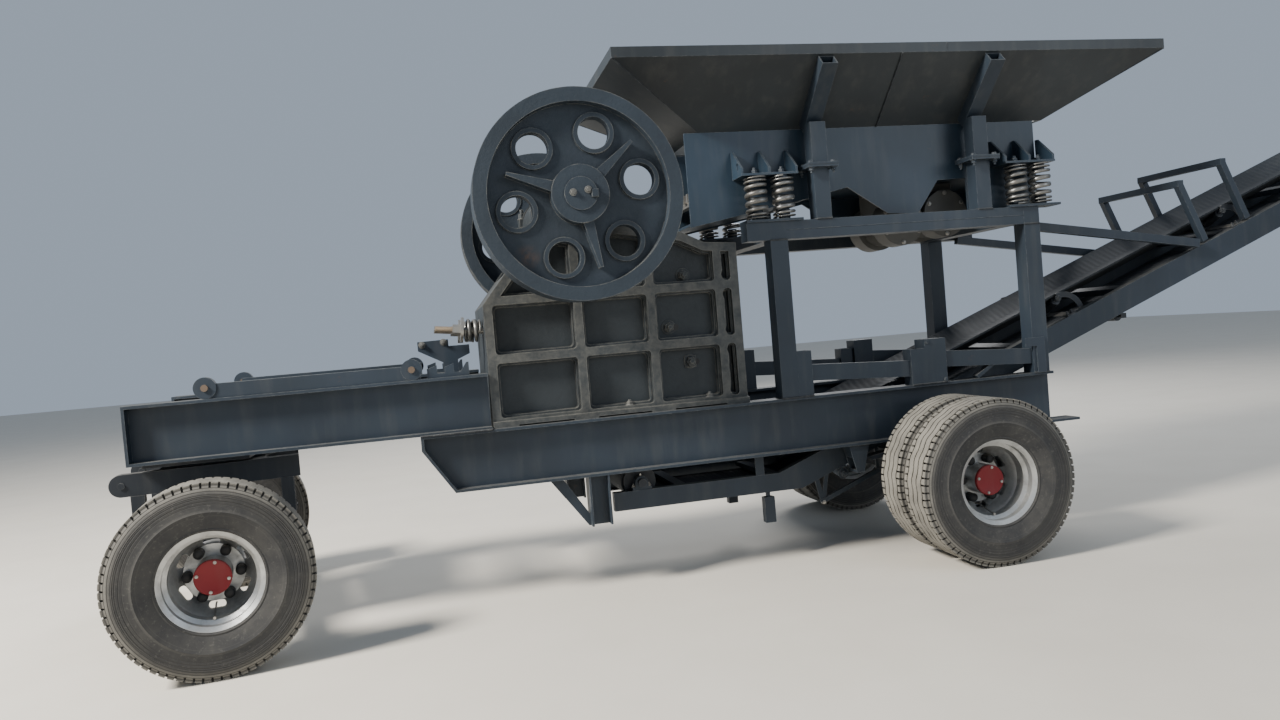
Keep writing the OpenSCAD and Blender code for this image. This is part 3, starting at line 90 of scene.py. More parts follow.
def aimed(at: Point, direction: Point, turn: float = 0.0) -> Matrix:
    """Matrix that moves the origin to a place and turns +Z to a direction, after a turn about Z."""
    turned = Vector(direction).normalized().to_track_quat("Z", "Y").to_matrix().to_4x4()
    return Matrix.Translation(Vector(at)) @ turned @ Matrix.Rotation(turn, 4, "Z")


class Side(Enum):
    """The two long sides of the plant, by the sign of Y."""

    NEAR = -1
    FAR = 1

    @property
    def tag(self) -> str:
        """Word used in piece names."""
        return self.name.lower()

    def at(self, x: float, y: float, z: float) -> Point:
        """Point on this side, y millimetres out from the centre line."""
        return spot(x, self.value * y, z)

    def outward(self, x: float, y: float, z: float, turn: float = 0.0) -> Matrix:
        """Place on this side that faces outwards."""
        return aimed(self.at(x, y, z), (0, self.value, 0), turn)

    def upright(self, x: float, y: float, z: float, turn: float = 0.0) -> Matrix:
        """Place on this side that faces up."""
        return aimed(self.at(x, y, z), UP, turn)

    def hanging(self, x: float, y: float, z: float, turn: float = 0.0) -> Matrix:
        """Place on this side that faces down."""
        return aimed(self.at(x, y, z), DOWN, turn)


# Finishes


def scaled(colour: Colour, factor: float) -> Colour:
    """Lighter or darker tone of a colour."""
    return tuple(c * factor for c in colour)


class NodeSheet:
    """A material's node tree, built one node at a time."""

    def __init__(self, name: str) -> None:
        """Start an empty material with its coordinates ready.

        Args:
            name: the material's name.
        """
        self.material = bpy.data.materials.new(name)
        self.material.use_nodes = True
        self.tree = self.material.node_tree
        self.tree.nodes.clear()
        self.shader = self.add("BsdfPrincipled")
        self.tree.links.new(self.shader.outputs[0], self.add("OutputMaterial").inputs[0])
        self.place = self.add("TexCoord").outputs["Object"]

    def plug(self, socket: Socket, value: object) -> None:
        """Feed an input.

        Args:
            socket: the input.
            value: another node's output, a number, a vector or a colour.
        """
        if isinstance(value, Socket):
            self.tree.links.new(value, socket)
        else:
            socket.default_value = (*value, 1.0) if socket.type == "RGBA" else value

    def add(self, kind: str, inputs: dict | None = None, **settings: object) -> bpy.types.Node:
        """Add a node.

        Args:
            kind: Blender's node type, without the prefix that all shader nodes have.
            inputs: values or sockets for its inputs, by name or index.
            settings: node properties to set.

        Returns:
            The new node.
        """
        node = self.tree.nodes.new("ShaderNode" + kind)
        for key, value in settings.items():
            setattr(node, key, value)
        for key, value in (inputs or {}).items():
            self.plug(node.inputs[key], value)
        return node

    def noise(
        self, scale: float, detail: float = 3.0, stretch: Point = (1, 1, 1), rough: float = 0.55
    ) -> Socket:
        """Noise on object coordinates.

        Args:
            scale: cells per metre.
            detail: octaves.
            stretch: factor on each axis.
            rough: how strong the fine octaves are.

        Returns:
            The noise value's socket.
        """
        at = self.place
        if stretch != (1, 1, 1):
            at = self.add("Mapping", {"Vector": at, "Scale": stretch}).outputs[0]
        values = {"Vector": at, "Scale": scale, "Detail": detail, "Roughness": rough}
        return self.add("TexNoise", values).outputs[0]

    def attribute(self, name: str) -> Socket:
        """Value that the mesh stores under a name."""
        return self.add("Attribute", attribute_name=name).outputs["Fac"]

    def ramp(self, value: Socket, low: float, high: float) -> Socket:
        """Map a value so that low gives 0 and high gives 1, clamped."""
        values = {"Value": value, "From Min": low, "From Max": high}
        return self.add("MapRange", values, clamp=True).outputs[0]

    def maths(self, operation: str, a: object, b: object = 0.0) -> Socket:
        """Combine two values with a Math operation."""
        return self.add("Math", {0: a, 1: b}, operation=operation).outputs[0]

    def times(self, a: object, b: object) -> Socket:
        """Product of two values."""
        return self.maths("MULTIPLY", a, b)

    def plus(self, a: object, b: object) -> Socket:
        """Sum of two values."""
        return self.maths("ADD", a, b)

    def vector_maths(self, operation: str, a: object, b: object) -> Socket:
        """Value of a Vector Math operation on two vectors."""
        return self.add("VectorMath", {0: a, 1: b}, operation=operation).outputs["Value"]

    def mix(self, factor: object, a: object, b: object) -> Socket:
        """Mix two colours by a factor."""
        return self.add("Mix", {0: factor, 6: a, 7: b}, data_type="RGBA").outputs[2]

    def tint(self, shade: object, mask: Socket, amount: float, colour: Colour) -> Socket:
        """Lay a colour over a shade where a mask is, that strongly."""
        return self.mix(self.times(mask, amount), shade, colour)

    def tones(self, base: Colour, patch: Socket, low: float, dark: float, light: float) -> Socket:
        """Base colour in darker and lighter patches."""
        return self.mix(self.ramp(patch, low, 0.7), scaled(base, dark), scaled(base, light))

    def facing_up(self) -> Socket:
        """How far the surface faces up, from 0 on walls to 1 on level tops."""
        normal = self.add("NewGeometry").outputs["Normal"]
        return self.ramp(self.add("SeparateXYZ", {0: normal}).outputs[2], 0.45, 0.95)

    def lying_dust(self, scale: float) -> Socket:
        """Mask of the dust that lies in patches on level faces."""
        return self.times(self.facing_up(), self.ramp(self.noise(scale, 7, rough=0.62), 0.05, 0.85))

    def edges(self, radius: float) -> Socket:
        """Mask that is 1 along outer and inner edges.

        Args:
            radius: how far from an edge it reaches, in metres.

        Returns:
            The mask's socket.
        """
        round_normal = self.add("Bevel", {"Radius": radius}, samples=4).outputs[0]
        flat = self.add("NewGeometry").outputs["Normal"]
        dot = self.vector_maths("DOT_PRODUCT", round_normal, flat)
        return self.ramp(self.maths("SUBTRACT", 1.0, dot), 0.01, 0.12)

    def wear_and_highlight_edges(self, radius: float, scale: float, detail: float, low: float) -> Socket:
        """Mask of pale edges, broken up by noise: rubbed paint, and on castings also a painted highlight.
        """
        return self.times(self.edges(radius), self.ramp(self.noise(scale, detail), low, 0.62))

    def bump(self, height: Socket, strength: float, distance: float) -> None:
        """Drive the shader's normal from a height."""
        node = self.add("Bump", {"Height": height, "Strength": strength, "Distance": distance})
        self.tree.links.new(node.outputs[0], self.shader.inputs["Normal"])

    def finish(
        self, colour: object, roughness: object, metallic: float = 0.0, sheen: float = 0.5
    ) -> Material:
        """Set the shader's main inputs.

        Args:
            colour: the base colour, plain or from a socket.
            roughness: the roughness, plain or from a socket.
            metallic: 1 for bare metal.
            sheen: how strongly a bare surface mirrors its surroundings.

        Returns:
            The finished material.
        """
        inputs = self.shader.inputs
        self.plug(inputs["Base Color"], colour)
        self.plug(inputs["Roughness"], roughness)
        self.plug(inputs["Metallic"], metallic)
        self.plug(inputs["Specular IOR Level"], sheen)
        return self.material


@dataclass(frozen=True)
class Paint:
    """Weathered machine paint with yard dust, worn edges and a few rust specks."""

    name: str
    base: Colour
    dust: Colour = (0.20, 0.185, 0.155)
    edge: Colour = (0.24, 0.25, 0.25)
    rust: Colour = (0.16, 0.075, 0.035)
    dust_amount: float = 0.45
    edge_amount: float = 0.55
    edge_width: float = 0.0035
    gloss: float = 0.42
    grain: float = 0.12
    grain_scale: float = 260.0
    rust_amount: float = 0.25
    run_amount: float = 0.09

    def build(self) -> Material:
        """Mix the paint.

        Returns:
            The material.
        """
        s = NodeSheet(self.name)
        fine = s.noise(self.grain_scale, 3)
        streak = s.noise(5.0, 4, (3.0, 3.0, 0.5))
        shade = s.tones(self.base, s.noise(1.7, 5), 0.35, 0.82, 1.28)
        shade = s.tint(shade, s.ramp(streak, 0.5, 0.78), self.run_amount, self.dust)
        lying = s.lying_dust(9.0)
        shade = s.tint(shade, lying, self.dust_amount, self.dust)
        shade = s.tint(shade, s.wear_and_highlight_edges(self.edge_width, 34.0, 4, 0.38), self.edge_amount, self.edge)
        specks = s.ramp(s.noise(9.0, 6, rough=0.7), 0.66, 0.74)
        shade = s.tint(shade, specks, self.rust_amount, self.rust)
        dull = s.plus(s.times(lying, 0.25), self.gloss)
        s.bump(fine, self.grain, 0.0015)
        return s.finish(shade, s.plus(s.times(s.ramp(fine, 0.2, 0.8), 0.12), dull), sheen=0.34)


@dataclass(frozen=True)
class Casting:
    """Thick paint over a rough sand casting, pale on its ribs from rubbed paint and from a painted
    highlight.
    """

    name: str
    base: Colour
    # edge: rubbed paint, which also stands for a painted highlight on the ribs' lit edges
    edge: Colour = (0.19, 0.185, 0.163)
    dust: Colour = (0.18, 0.168, 0.14)
    rust: Colour = (0.095, 0.052, 0.028)
    edge_width: float = 0.009
    rust_at: Point | None = None
    worn_and_highlit_beyond: float | None = None

    def build(self) -> Material:
        """Mix the paint.

        Returns:
            The material.
        """
        s = NodeSheet(self.name)
        lumps = s.noise(38.0, 6, rough=0.62)
        shade = s.tones(self.base, s.noise(3.2, 5), 0.3, 0.78, 1.3)
        shade = s.tint(shade, s.lying_dust(14.0), 0.6, self.dust)
        # Ribs' edges and proud faces are paled: partly rubbed paint, partly a painted highlight where
        # light catches them
        wear_and_highlight = s.wear_and_highlight_edges(self.edge_width, 26.0, 5, 0.3)
        if self.worn_and_highlit_beyond:
            sideways = s.maths("ABSOLUTE", s.add("SeparateXYZ", {0: s.place}).outputs[1])
            proud = s.ramp(sideways, self.worn_and_highlit_beyond - 0.006, self.worn_and_highlit_beyond)
            rubbed = s.times(proud, s.ramp(s.noise(15.0, 6, rough=0.7), 0.3, 0.7))
            wear_and_highlight = s.maths("MAXIMUM", wear_and_highlight, s.times(rubbed, 0.5))
        shade = s.tint(shade, wear_and_highlight, 0.75, self.edge)
        if self.rust_at:
            near = s.vector_maths("DISTANCE", s.place, self.rust_at)
            stain = s.times(s.ramp(near, 0.07, 0.01), s.ramp(s.noise(30.0, 5), 0.35, 0.65))
            shade = s.tint(shade, stain, 0.6, self.rust)
        s.bump(lumps, 0.55, 0.004)
        return s.finish(shade, s.plus(s.times(s.ramp(lumps, 0.25, 0.75), 0.2), 0.5), sheen=0.36)


@dataclass(frozen=True)
class Metal:
    """Bare or silver-painted metal with grime in patches."""

    name: str
    base: Colour
    grime: Colour = (0.10, 0.085, 0.065)
    grime_amount: float = 0.5
    gloss: float = 0.32
    metallic: float = 0.85
    rust: Colour = (0.17, 0.08, 0.035)
    rust_amount: float = 0.3

    def build(self) -> Material:
        """Mix the metal.

        Returns:
            The material.
        """
        s = NodeSheet(self.name)
        scratch = s.noise(120.0, 4)
        dirt = s.ramp(s.noise(14.0, 6, rough=0.65), 0.42, 0.72)
        spots = s.ramp(s.noise(31.0, 5, rough=0.7), 0.6, 0.72)
        shade = s.tint(self.base, dirt, self.grime_amount, self.grime)
        shade = s.tint(shade, spots, self.rust_amount, self.rust)
        scratched = s.plus(s.times(scratch, 0.18), self.gloss - 0.09)
        s.bump(scratch, 0.18, 0.0008)
        return s.finish(shade, s.plus(s.times(dirt, 0.3), scratched), self.metallic)


@dataclass(frozen=True)
class TyreRubber:
    """Truck tyre rubber: dusty tread and shoulder, darker scuffed wall, and painted shade in the grooves
    and the wall's rings.
    """

    name: str
    wall: Colour = (0.017, 0.0175, 0.019)
    dust: Colour = (0.27, 0.255, 0.22)
    tread: Colour = (0.135, 0.128, 0.112)
    groove_shade: Colour = (0.022, 0.021, 0.02)
    ring_from: float = 0.334
    ring_to: float = 0.412
    ring_scale: float = 22.4

    def build(self) -> Material:
        """Mix the rubber, which reads each tyre's own radius attribute.

        Returns:
            The material.
        """
        s = NodeSheet(self.name)
        radius = s.attribute("wheel_radius")
        scuff = s.noise(7.0, 7, rough=0.7)
        fine = s.noise(95.0, 4, rough=0.6)
        specks = s.ramp(s.noise(60.0, 5, rough=0.7), 0.56, 0.7)
        dull = tuple(a + (b - a) * 0.15 for a, b in zip(self.wall, self.dust))
        wall = s.mix(s.ramp(scuff, 0.38, 0.72), self.wall, dull)
        wall = s.tint(wall, specks, 0.15, self.dust)
        across = s.add("CombineXYZ", {0: radius}).outputs[0]
        bands = s.add("TexNoise", {"Vector": across, "Scale": 60.0, "Detail": 3.0}).outputs[0]
        wall = s.tint(wall, s.ramp(bands, 0.55, 0.7), 0.16, self.dust)
        rings = s.add("TexWave", {"Vector": across, "Scale": self.ring_scale}).outputs[1]
        rise = s.ramp(radius, self.ring_from, self.ring_from + 0.006)
        shoulder = s.times(rise, s.ramp(radius, self.ring_to, self.ring_to - 0.006))
        line = s.times(s.ramp(rings, 0.34, 0.04), shoulder)
        dusty = s.tint(self.tread, s.ramp(scuff, 0.3, 0.6), 0.75, self.dust)
        shade = s.tint(wall, s.ramp(radius, 0.378, 0.414), 0.85, dusty)
        # Painted shade: groove floors and the thin rings on the wall are darkened as if shade lay in them
        dark = s.maths("MAXIMUM", s.attribute("groove_shade"), line)
        shade = s.tint(shade, dark, 0.9, self.groove_shade)
        s.bump(s.maths("SUBTRACT", s.times(fine, 0.4), line), 0.8, 0.0016)
        return s.finish(shade, s.plus(s.times(s.ramp(scuff, 0.3, 0.7), 0.22), 0.68))


@dataclass(frozen=True)
class BeltRubber:
    """Conveyor belting: matt black rubber with pale stone dust rubbed in, and painted shade in the hollows
    of its ripples.
    """

    name: str
    base: Colour = (0.017, 0.022, 0.028)
    dust: Colour = (0.075, 0.078, 0.078)
    hollow_shade: Colour = (0.012, 0.013, 0.015)

    def build(self) -> Material:
        """Mix the rubber.

        Returns:
            The material.
        """
        s = NodeSheet(self.name)
        rubbed = s.ramp(s.noise(7.0, 6, rough=0.65), 0.35, 0.75)
        waves = {"Vector": s.place, "Scale": 8.5, "Distortion": 0.9, "Detail": 2.0}
        ripples = s.add("TexWave", waves).outputs[1]
        shade = s.tint(self.base, rubbed, 0.4, self.dust)
        # Painted shade: the ripples' hollows are darkened
        shade = s.tint(shade, s.ramp(ripples, 0.35, 0.0), 0.22, self.hollow_shade)
        s.bump(s.plus(ripples, s.times(s.noise(180.0, 3), 0.2)), 0.5, 0.004)
        return s.finish(shade, s.plus(s.times(rubbed, 0.15), 0.68), sheen=0.22)


@dataclass(frozen=True)
class Finishes:
    """Every finish on the plant, built once."""

    chassis: Material
    under: Material
    hopper: Material
    trough: Material
    casting: Material
    wheel_casting: Material
    steel: Material
    worn_spring: Material
    silver: Material
    cap_red: Material
    black_cover: Material
    tyre: Material
    belt: Material
    rust_edge: Material
    motor: Material
    thread: Material
    weld: Material

    @classmethod
    def build(cls) -> "Finishes":
        """Build all the materials.

        Returns:
            The finished set.
        """
        recipes = {
            "chassis": Paint("chassis_paint", (0.019, 0.028, 0.040)),
            "under": Paint("under_paint", (0.015, 0.019, 0.025), dust_amount=0.7, rust_amount=0.45),
            "hopper": Paint("hopper_paint", (0.023, 0.028, 0.032), gloss=0.36, dust_amount=0.4),
            "trough": Paint("trough_paint", (0.018, 0.032, 0.049), gloss=0.34, dust_amount=0.35),
            "casting": Casting("cast_frame_paint", (0.019, 0.024, 0.028), worn_and_highlit_beyond=0.4295),
            "wheel_casting": Casting(
                "flywheel_paint", (0.017, 0.025, 0.035),
                edge_width=0.006, rust_at=(SHAFT_X - 0.27, -0.80, 1.745),
            ),
            "steel": Metal("bare_steel", (0.40, 0.39, 0.365)),
            "worn_spring": Metal(
                "worn_spring_steel", (0.20, 0.20, 0.195), gloss=0.3, metallic=0.7, grime_amount=0.6
            ),
            "silver": Metal(
                "silver_wheel_paint", (0.46, 0.47, 0.47),
                gloss=0.34, metallic=0.75, grime_amount=0.45, rust_amount=0.12,
            ),
            "cap_red": Paint(
                "red_hub_cap", (0.155, 0.006, 0.010),
                edge=(0.22, 0.04, 0.035), dust_amount=0.3, rust_amount=0.3, gloss=0.45,
            ),
            "black_cover": Paint(
                "black_nut_cover", (0.012, 0.012, 0.013),
                edge=(0.05, 0.05, 0.05), gloss=0.5, rust_amount=0.0,
            ),
            "tyre": TyreRubber("tyre_rubber"),
            "belt": BeltRubber("belt_rubber"),
            "rust_edge": Metal(
                "rusted_steel", (0.12, 0.082, 0.058), gloss=0.6, metallic=0.2, rust_amount=0.6
            ),
            "motor": Paint("motor_grey", (0.085, 0.085, 0.080), dust_amount=0.5, gloss=0.5),
            "thread": Metal(
                "rusty_thread", (0.26, 0.185, 0.105), gloss=0.5, metallic=0.45, rust_amount=0.5
            ),
            "weld": Paint("weld_seam", (0.016, 0.020, 0.026), gloss=0.5, rust_amount=0.5),
        }
        return cls(**{name: recipe.build() for name, recipe in recipes.items()})


# Modelling


class Bench:
    """Modelling by hand with Blender's own operators, one active object at a time."""

    @staticmethod
    def clear() -> None:
        """Leave object mode clean: nothing selected."""
        if bpy.context.object and bpy.context.object.mode != "OBJECT":
            bpy.ops.object.mode_set(mode="OBJECT")
        bpy.ops.object.select_all(action="DESELECT")

    @classmethod
    def hold(cls, piece: Piece) -> None:
        """Make a piece the active one and the only one selected.

        Args:
            piece: the object.
        """
        cls.clear()
        piece.select_set(True)
        bpy.context.view_layer.objects.active = piece

    @staticmethod
    def settle(name: str) -> Piece:
        """Move the active object's place into its mesh.

        Args:
            name: the object's new name.

        Returns:
            The object.
        """
        piece = bpy.context.object
        piece.name = name
        piece.data.name = name
        bpy.ops.object.transform_apply(location=True, rotation=True, scale=True)
        return piece

    @classmethod
    def round_bar(cls, name: str, radius: float, z0: float, z1: float, sides: int = 24) -> Piece:
        """Add a cylinder on the Z axis.

        Args:
            name: its name.
            radius: its radius, in metres.
            z0: its lower end.
            z1: its upper end.
            sides: how many sides it has.

        Returns:
            The cylinder.
        """
        cls.clear()
        bpy.ops.mesh.primitive_cylinder_add(
            vertices=sides, radius=radius, depth=z1 - z0, location=(0, 0, (z0 + z1) / 2)
        )
        return cls.settle(name)

    @classmethod
    def block(cls, name: str, corner: Point, opposite: Point) -> Piece:
        """Add a block between two opposite corners.

        Args:
            name: its name.
            corner: one corner.
            opposite: the corner across the block.

        Returns:
            The block.
        """
        cls.clear()
        middle = [(a + b) / 2 for a, b in zip(corner, opposite)]
        bpy.ops.mesh.primitive_cube_add(size=1, location=middle)
        bpy.context.object.scale = [abs(b - a) for a, b in zip(corner, opposite)]
        return cls.settle(name)

    @classmethod
    def pick(cls, piece: Piece, kind: str, test: Callable[..., bool]) -> None:
        """Enter edit mode and select the vertices, edges or faces that pass a test.

        Args:
            piece: the object to edit.
            kind: VERT, EDGE or FACE.
            test: called with each element's middle, and with its normal for a face.
        """
        cls.hold(piece)
        bpy.ops.object.mode_set(mode="EDIT")
        bpy.ops.mesh.select_mode(type=kind)
        bpy.ops.mesh.select_all(action="DESELECT")
        mesh = bmesh.from_edit_mesh(piece.data)
        for part in {"VERT": mesh.verts, "EDGE": mesh.edges, "FACE": mesh.faces}[kind]:
            if kind == "FACE":
                chosen = test(part.calc_center_median(), part.normal)
            elif kind == "EDGE":
                chosen = test((part.verts[0].co + part.verts[1].co) / 2)
            else:
                chosen = test(part.co)
            if chosen:
                part.select_set(True)
        mesh.select_flush_mode()
        bmesh.update_edit_mesh(piece.data)

    @classmethod
    def end(cls, piece: Piece, sign: int = 1) -> None:
        """Select the flat faces towards +Z, or towards -Z with sign -1."""
        cls.pick(piece, "FACE", lambda c, n: n.z * sign > 0.9)

    @staticmethod
    def inset(thickness: float, depth: float = 0) -> None:
        """Inset the selected faces."""
        bpy.ops.mesh.inset(thickness=thickness, depth=depth)

    @staticmethod
    def push(x: float, y: float, z: float) -> None:
        """Extrude the selection by a distance."""
        bpy.ops.mesh.extrude_region_move(TRANSFORM_OT_translate={"value": (x, y, z)})

    @staticmethod
    def swell(distance: float) -> None:
        """Extrude the selected faces along their normals."""
        bpy.ops.mesh.extrude_region_shrink_fatten(TRANSFORM_OT_shrink_fatten={"value": distance})

    @staticmethod
    def widen(factor: float, about: Point | None = None) -> None:
        """Scale the selection in X and Y, about its own middle or a point."""
        centre = {} if about is None else {"center_override": about}
        bpy.ops.transform.resize(value=(factor, factor, 1), **centre)

    @classmethod
    def terrace(cls, moves: tuple[tuple[float, float], ...], sign: int = 1) -> None:
        """Inset the selected end and move it along Z, step by step.

        Args:
            moves: an inset and a move outwards for each step, in metres.
            sign: 1 for an end towards +Z, -1 for one towards -Z.
        """
        for inset, out in moves:
            cls.inset(inset)
            bpy.ops.transform.translate(value=(0, 0, out * sign))

    @classmethod
    def open_edges(cls, piece: Piece) -> None:
        """Enter edit mode and select the edges of open holes."""
        cls.pick(piece, "EDGE", lambda c: False)
        bpy.ops.mesh.select_non_manifold(
            extend=False, use_wire=False, use_boundary=True, use_multi_face=False,
            use_non_contiguous=False, use_verts=False,
        )

    @classmethod
    def face_outwards(cls) -> None:
        """Turn all faces of the edited mesh outwards and leave edit mode."""
        bpy.ops.mesh.select_all(action="SELECT")
        bpy.ops.mesh.normals_make_consistent(inside=False)
        cls.clear()

    @classmethod
    def seal(cls, piece: Piece) -> Piece:
        """Merge doubled vertices, close open ends and turn all faces outwards.

        Args:
            piece: the object to mend.

        Returns:
            The same object.
        """
        cls.pick(piece, "VERT", lambda c: True)
        bpy.ops.mesh.remove_doubles(threshold=0.00002)
        cls.open_edges(piece)
        bpy.ops.mesh.edge_face_add()
        cls.face_outwards()
        return piece

    @classmethod
    def apply(cls, piece: Piece, kind: str, **settings: object) -> Piece:
        """Add a modifier and apply it.

        Args:
            piece: the object to change.
            kind: the modifier's type.
            settings: the modifier's properties to set.

        Returns:
            The same object.
        """
        cls.hold(piece)
        step = piece.modifiers.new(kind.title(), kind)
        for key, value in settings.items():
            setattr(step, key, value)
        bpy.ops.object.modifier_apply(modifier=step.name)
        return piece

    @classmethod
    def bevel(cls, piece: Piece, width: float) -> Piece:
        """Bevel the edges sharper than 30 degrees."""
        angle = math.radians(30)
        return cls.apply(piece, "BEVEL", width=width, segments=2, limit_method="ANGLE", angle_limit=angle)

    @classmethod
    def smooth(cls, piece: Piece, angle: float = 35.0) -> Piece:
        """Shade smooth.

        Args:
            piece: the object to shade.
            angle: edges sharper than this stay sharp, in degrees.

        Returns:
            The same object.
        """
        cls.hold(piece)
        bpy.ops.object.shade_smooth_by_angle(angle=math.radians(angle))
        return piece

    @classmethod
    def join(cls, name: str, parts: list[Piece]) -> Piece:
        """Join several objects.

        Args:
            name: the joined piece's name.
            parts: the objects.

        Returns:
            The joined piece.
        """
        cls.clear()
        for part in parts:
            part.select_set(True)
        bpy.context.view_layer.objects.active = parts[0]
        if len(parts) > 1:
            bpy.ops.object.join()
        return cls.settle(name)

    @classmethod
    def copies(cls, name: str, master: Piece, places: Places, keep: bool = False) -> Piece:
        """Copy a finished master to each place and join the copies.

        Args:
            name: the new piece's name.
            master: the object to copy.
            places: one matrix for each copy.
            keep: whether the master is kept for later copies.

        Returns:
            The joined piece.
        """
        cls.clear()
        parts = []
        for place in places:
            twin = master.copy()
            twin.data = master.data.copy()
            bpy.context.collection.objects.link(twin)
            twin.data.transform(place)
            parts.append(twin)
        piece = cls.join(name, parts)
        if not keep:
            bpy.data.objects.remove(master, do_unlink=True)
        return piece

    @staticmethod
    def dress(piece: Piece, material: Material, slot: str = "bare_steel", body: str = "plant") -> Piece:
        """Give a piece what every visible piece needs.

        Args:
            piece: the object.
            material: its finish.
            slot: the record's material slot that it belongs to; not used.
            body: the body that it moves with.

        Returns:
            The same object.
        """
        piece.data.materials.clear()
        piece.data.materials.append(material)
        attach(piece, body)
        LOG.info("piece %s on %s: %d faces", piece.name, body, len(piece.data.polygons))
        return piece


@dataclass
class Fastener:
    """Hexagon bolt head or nut on a washer, with its stud standing out."""

    across: float = 0.030
    height: float = 0.016
    stud: float = 0.010
    washer: float = 1.35

    def model(self) -> Piece:
        """Model one fastener on z = 0, pointing along +Z.

        Returns:
            The fastener.
        """
        r = self.across / math.sqrt(3)
        nut = Bench.round_bar("nut", r, 0.003, self.height, 6)
        Bench.end(nut)
        Bench.inset(r * 0.16, r * 0.09)
        Bench.inset(r * 0.26)
        if self.stud:
            Bench.push(0, 0, self.stud)
            Bench.inset(r * 0.08, r * 0.05)
        washer = Bench.round_bar("washer", r * self.washer, 0, 0.004, 18)
        Bench.end(washer)
        Bench.inset(r * 0.12, 0.0008)
        return Bench.join("fastener", [nut, washer])

    def lay(
        self, name: str, places: Places, look: Material, slot: str = "bare_steel", body: str = "plant"
    ) -> None:
        """Place copies of the fastener as one dressed piece."""
        Bench.dress(Bench.copies(name, self.model(), places), look, slot, body)


# Wheels


@dataclass
class WheelStation:
    """One visible outer wheel: its tyre's middle, its outward direction and its pieces' names."""

    tag: str
    body: str
    middle: Point
    outward: Point
    tyres: tuple[float, ...]
    tyre_node: str

    def matrix(self, inboard: float = 0.0) -> Matrix:
        """Matrix from a wheel built on +Z outward to this wheel.

        Args:
            inboard: how far inwards it lies, in metres.

        Returns:
            The matrix.
        """
        out = Vector(self.outward)
        turned = Matrix((Vector(UP).cross(out), UP, out)).transposed().to_4x4()
        return Matrix.Translation(Vector(self.middle) - out * inboard) @ turned

    def ring(self, count: int, first: float, at: Point) -> Places:
        """Places spread round the hub, from a first angle in degrees."""
        angles = [math.radians(first + 360 / count * k) for k in range(count)]
        return [self.matrix() @ Matrix.Rotation(a, 4, "Z") @ Matrix.Translation(at) for a in angles]


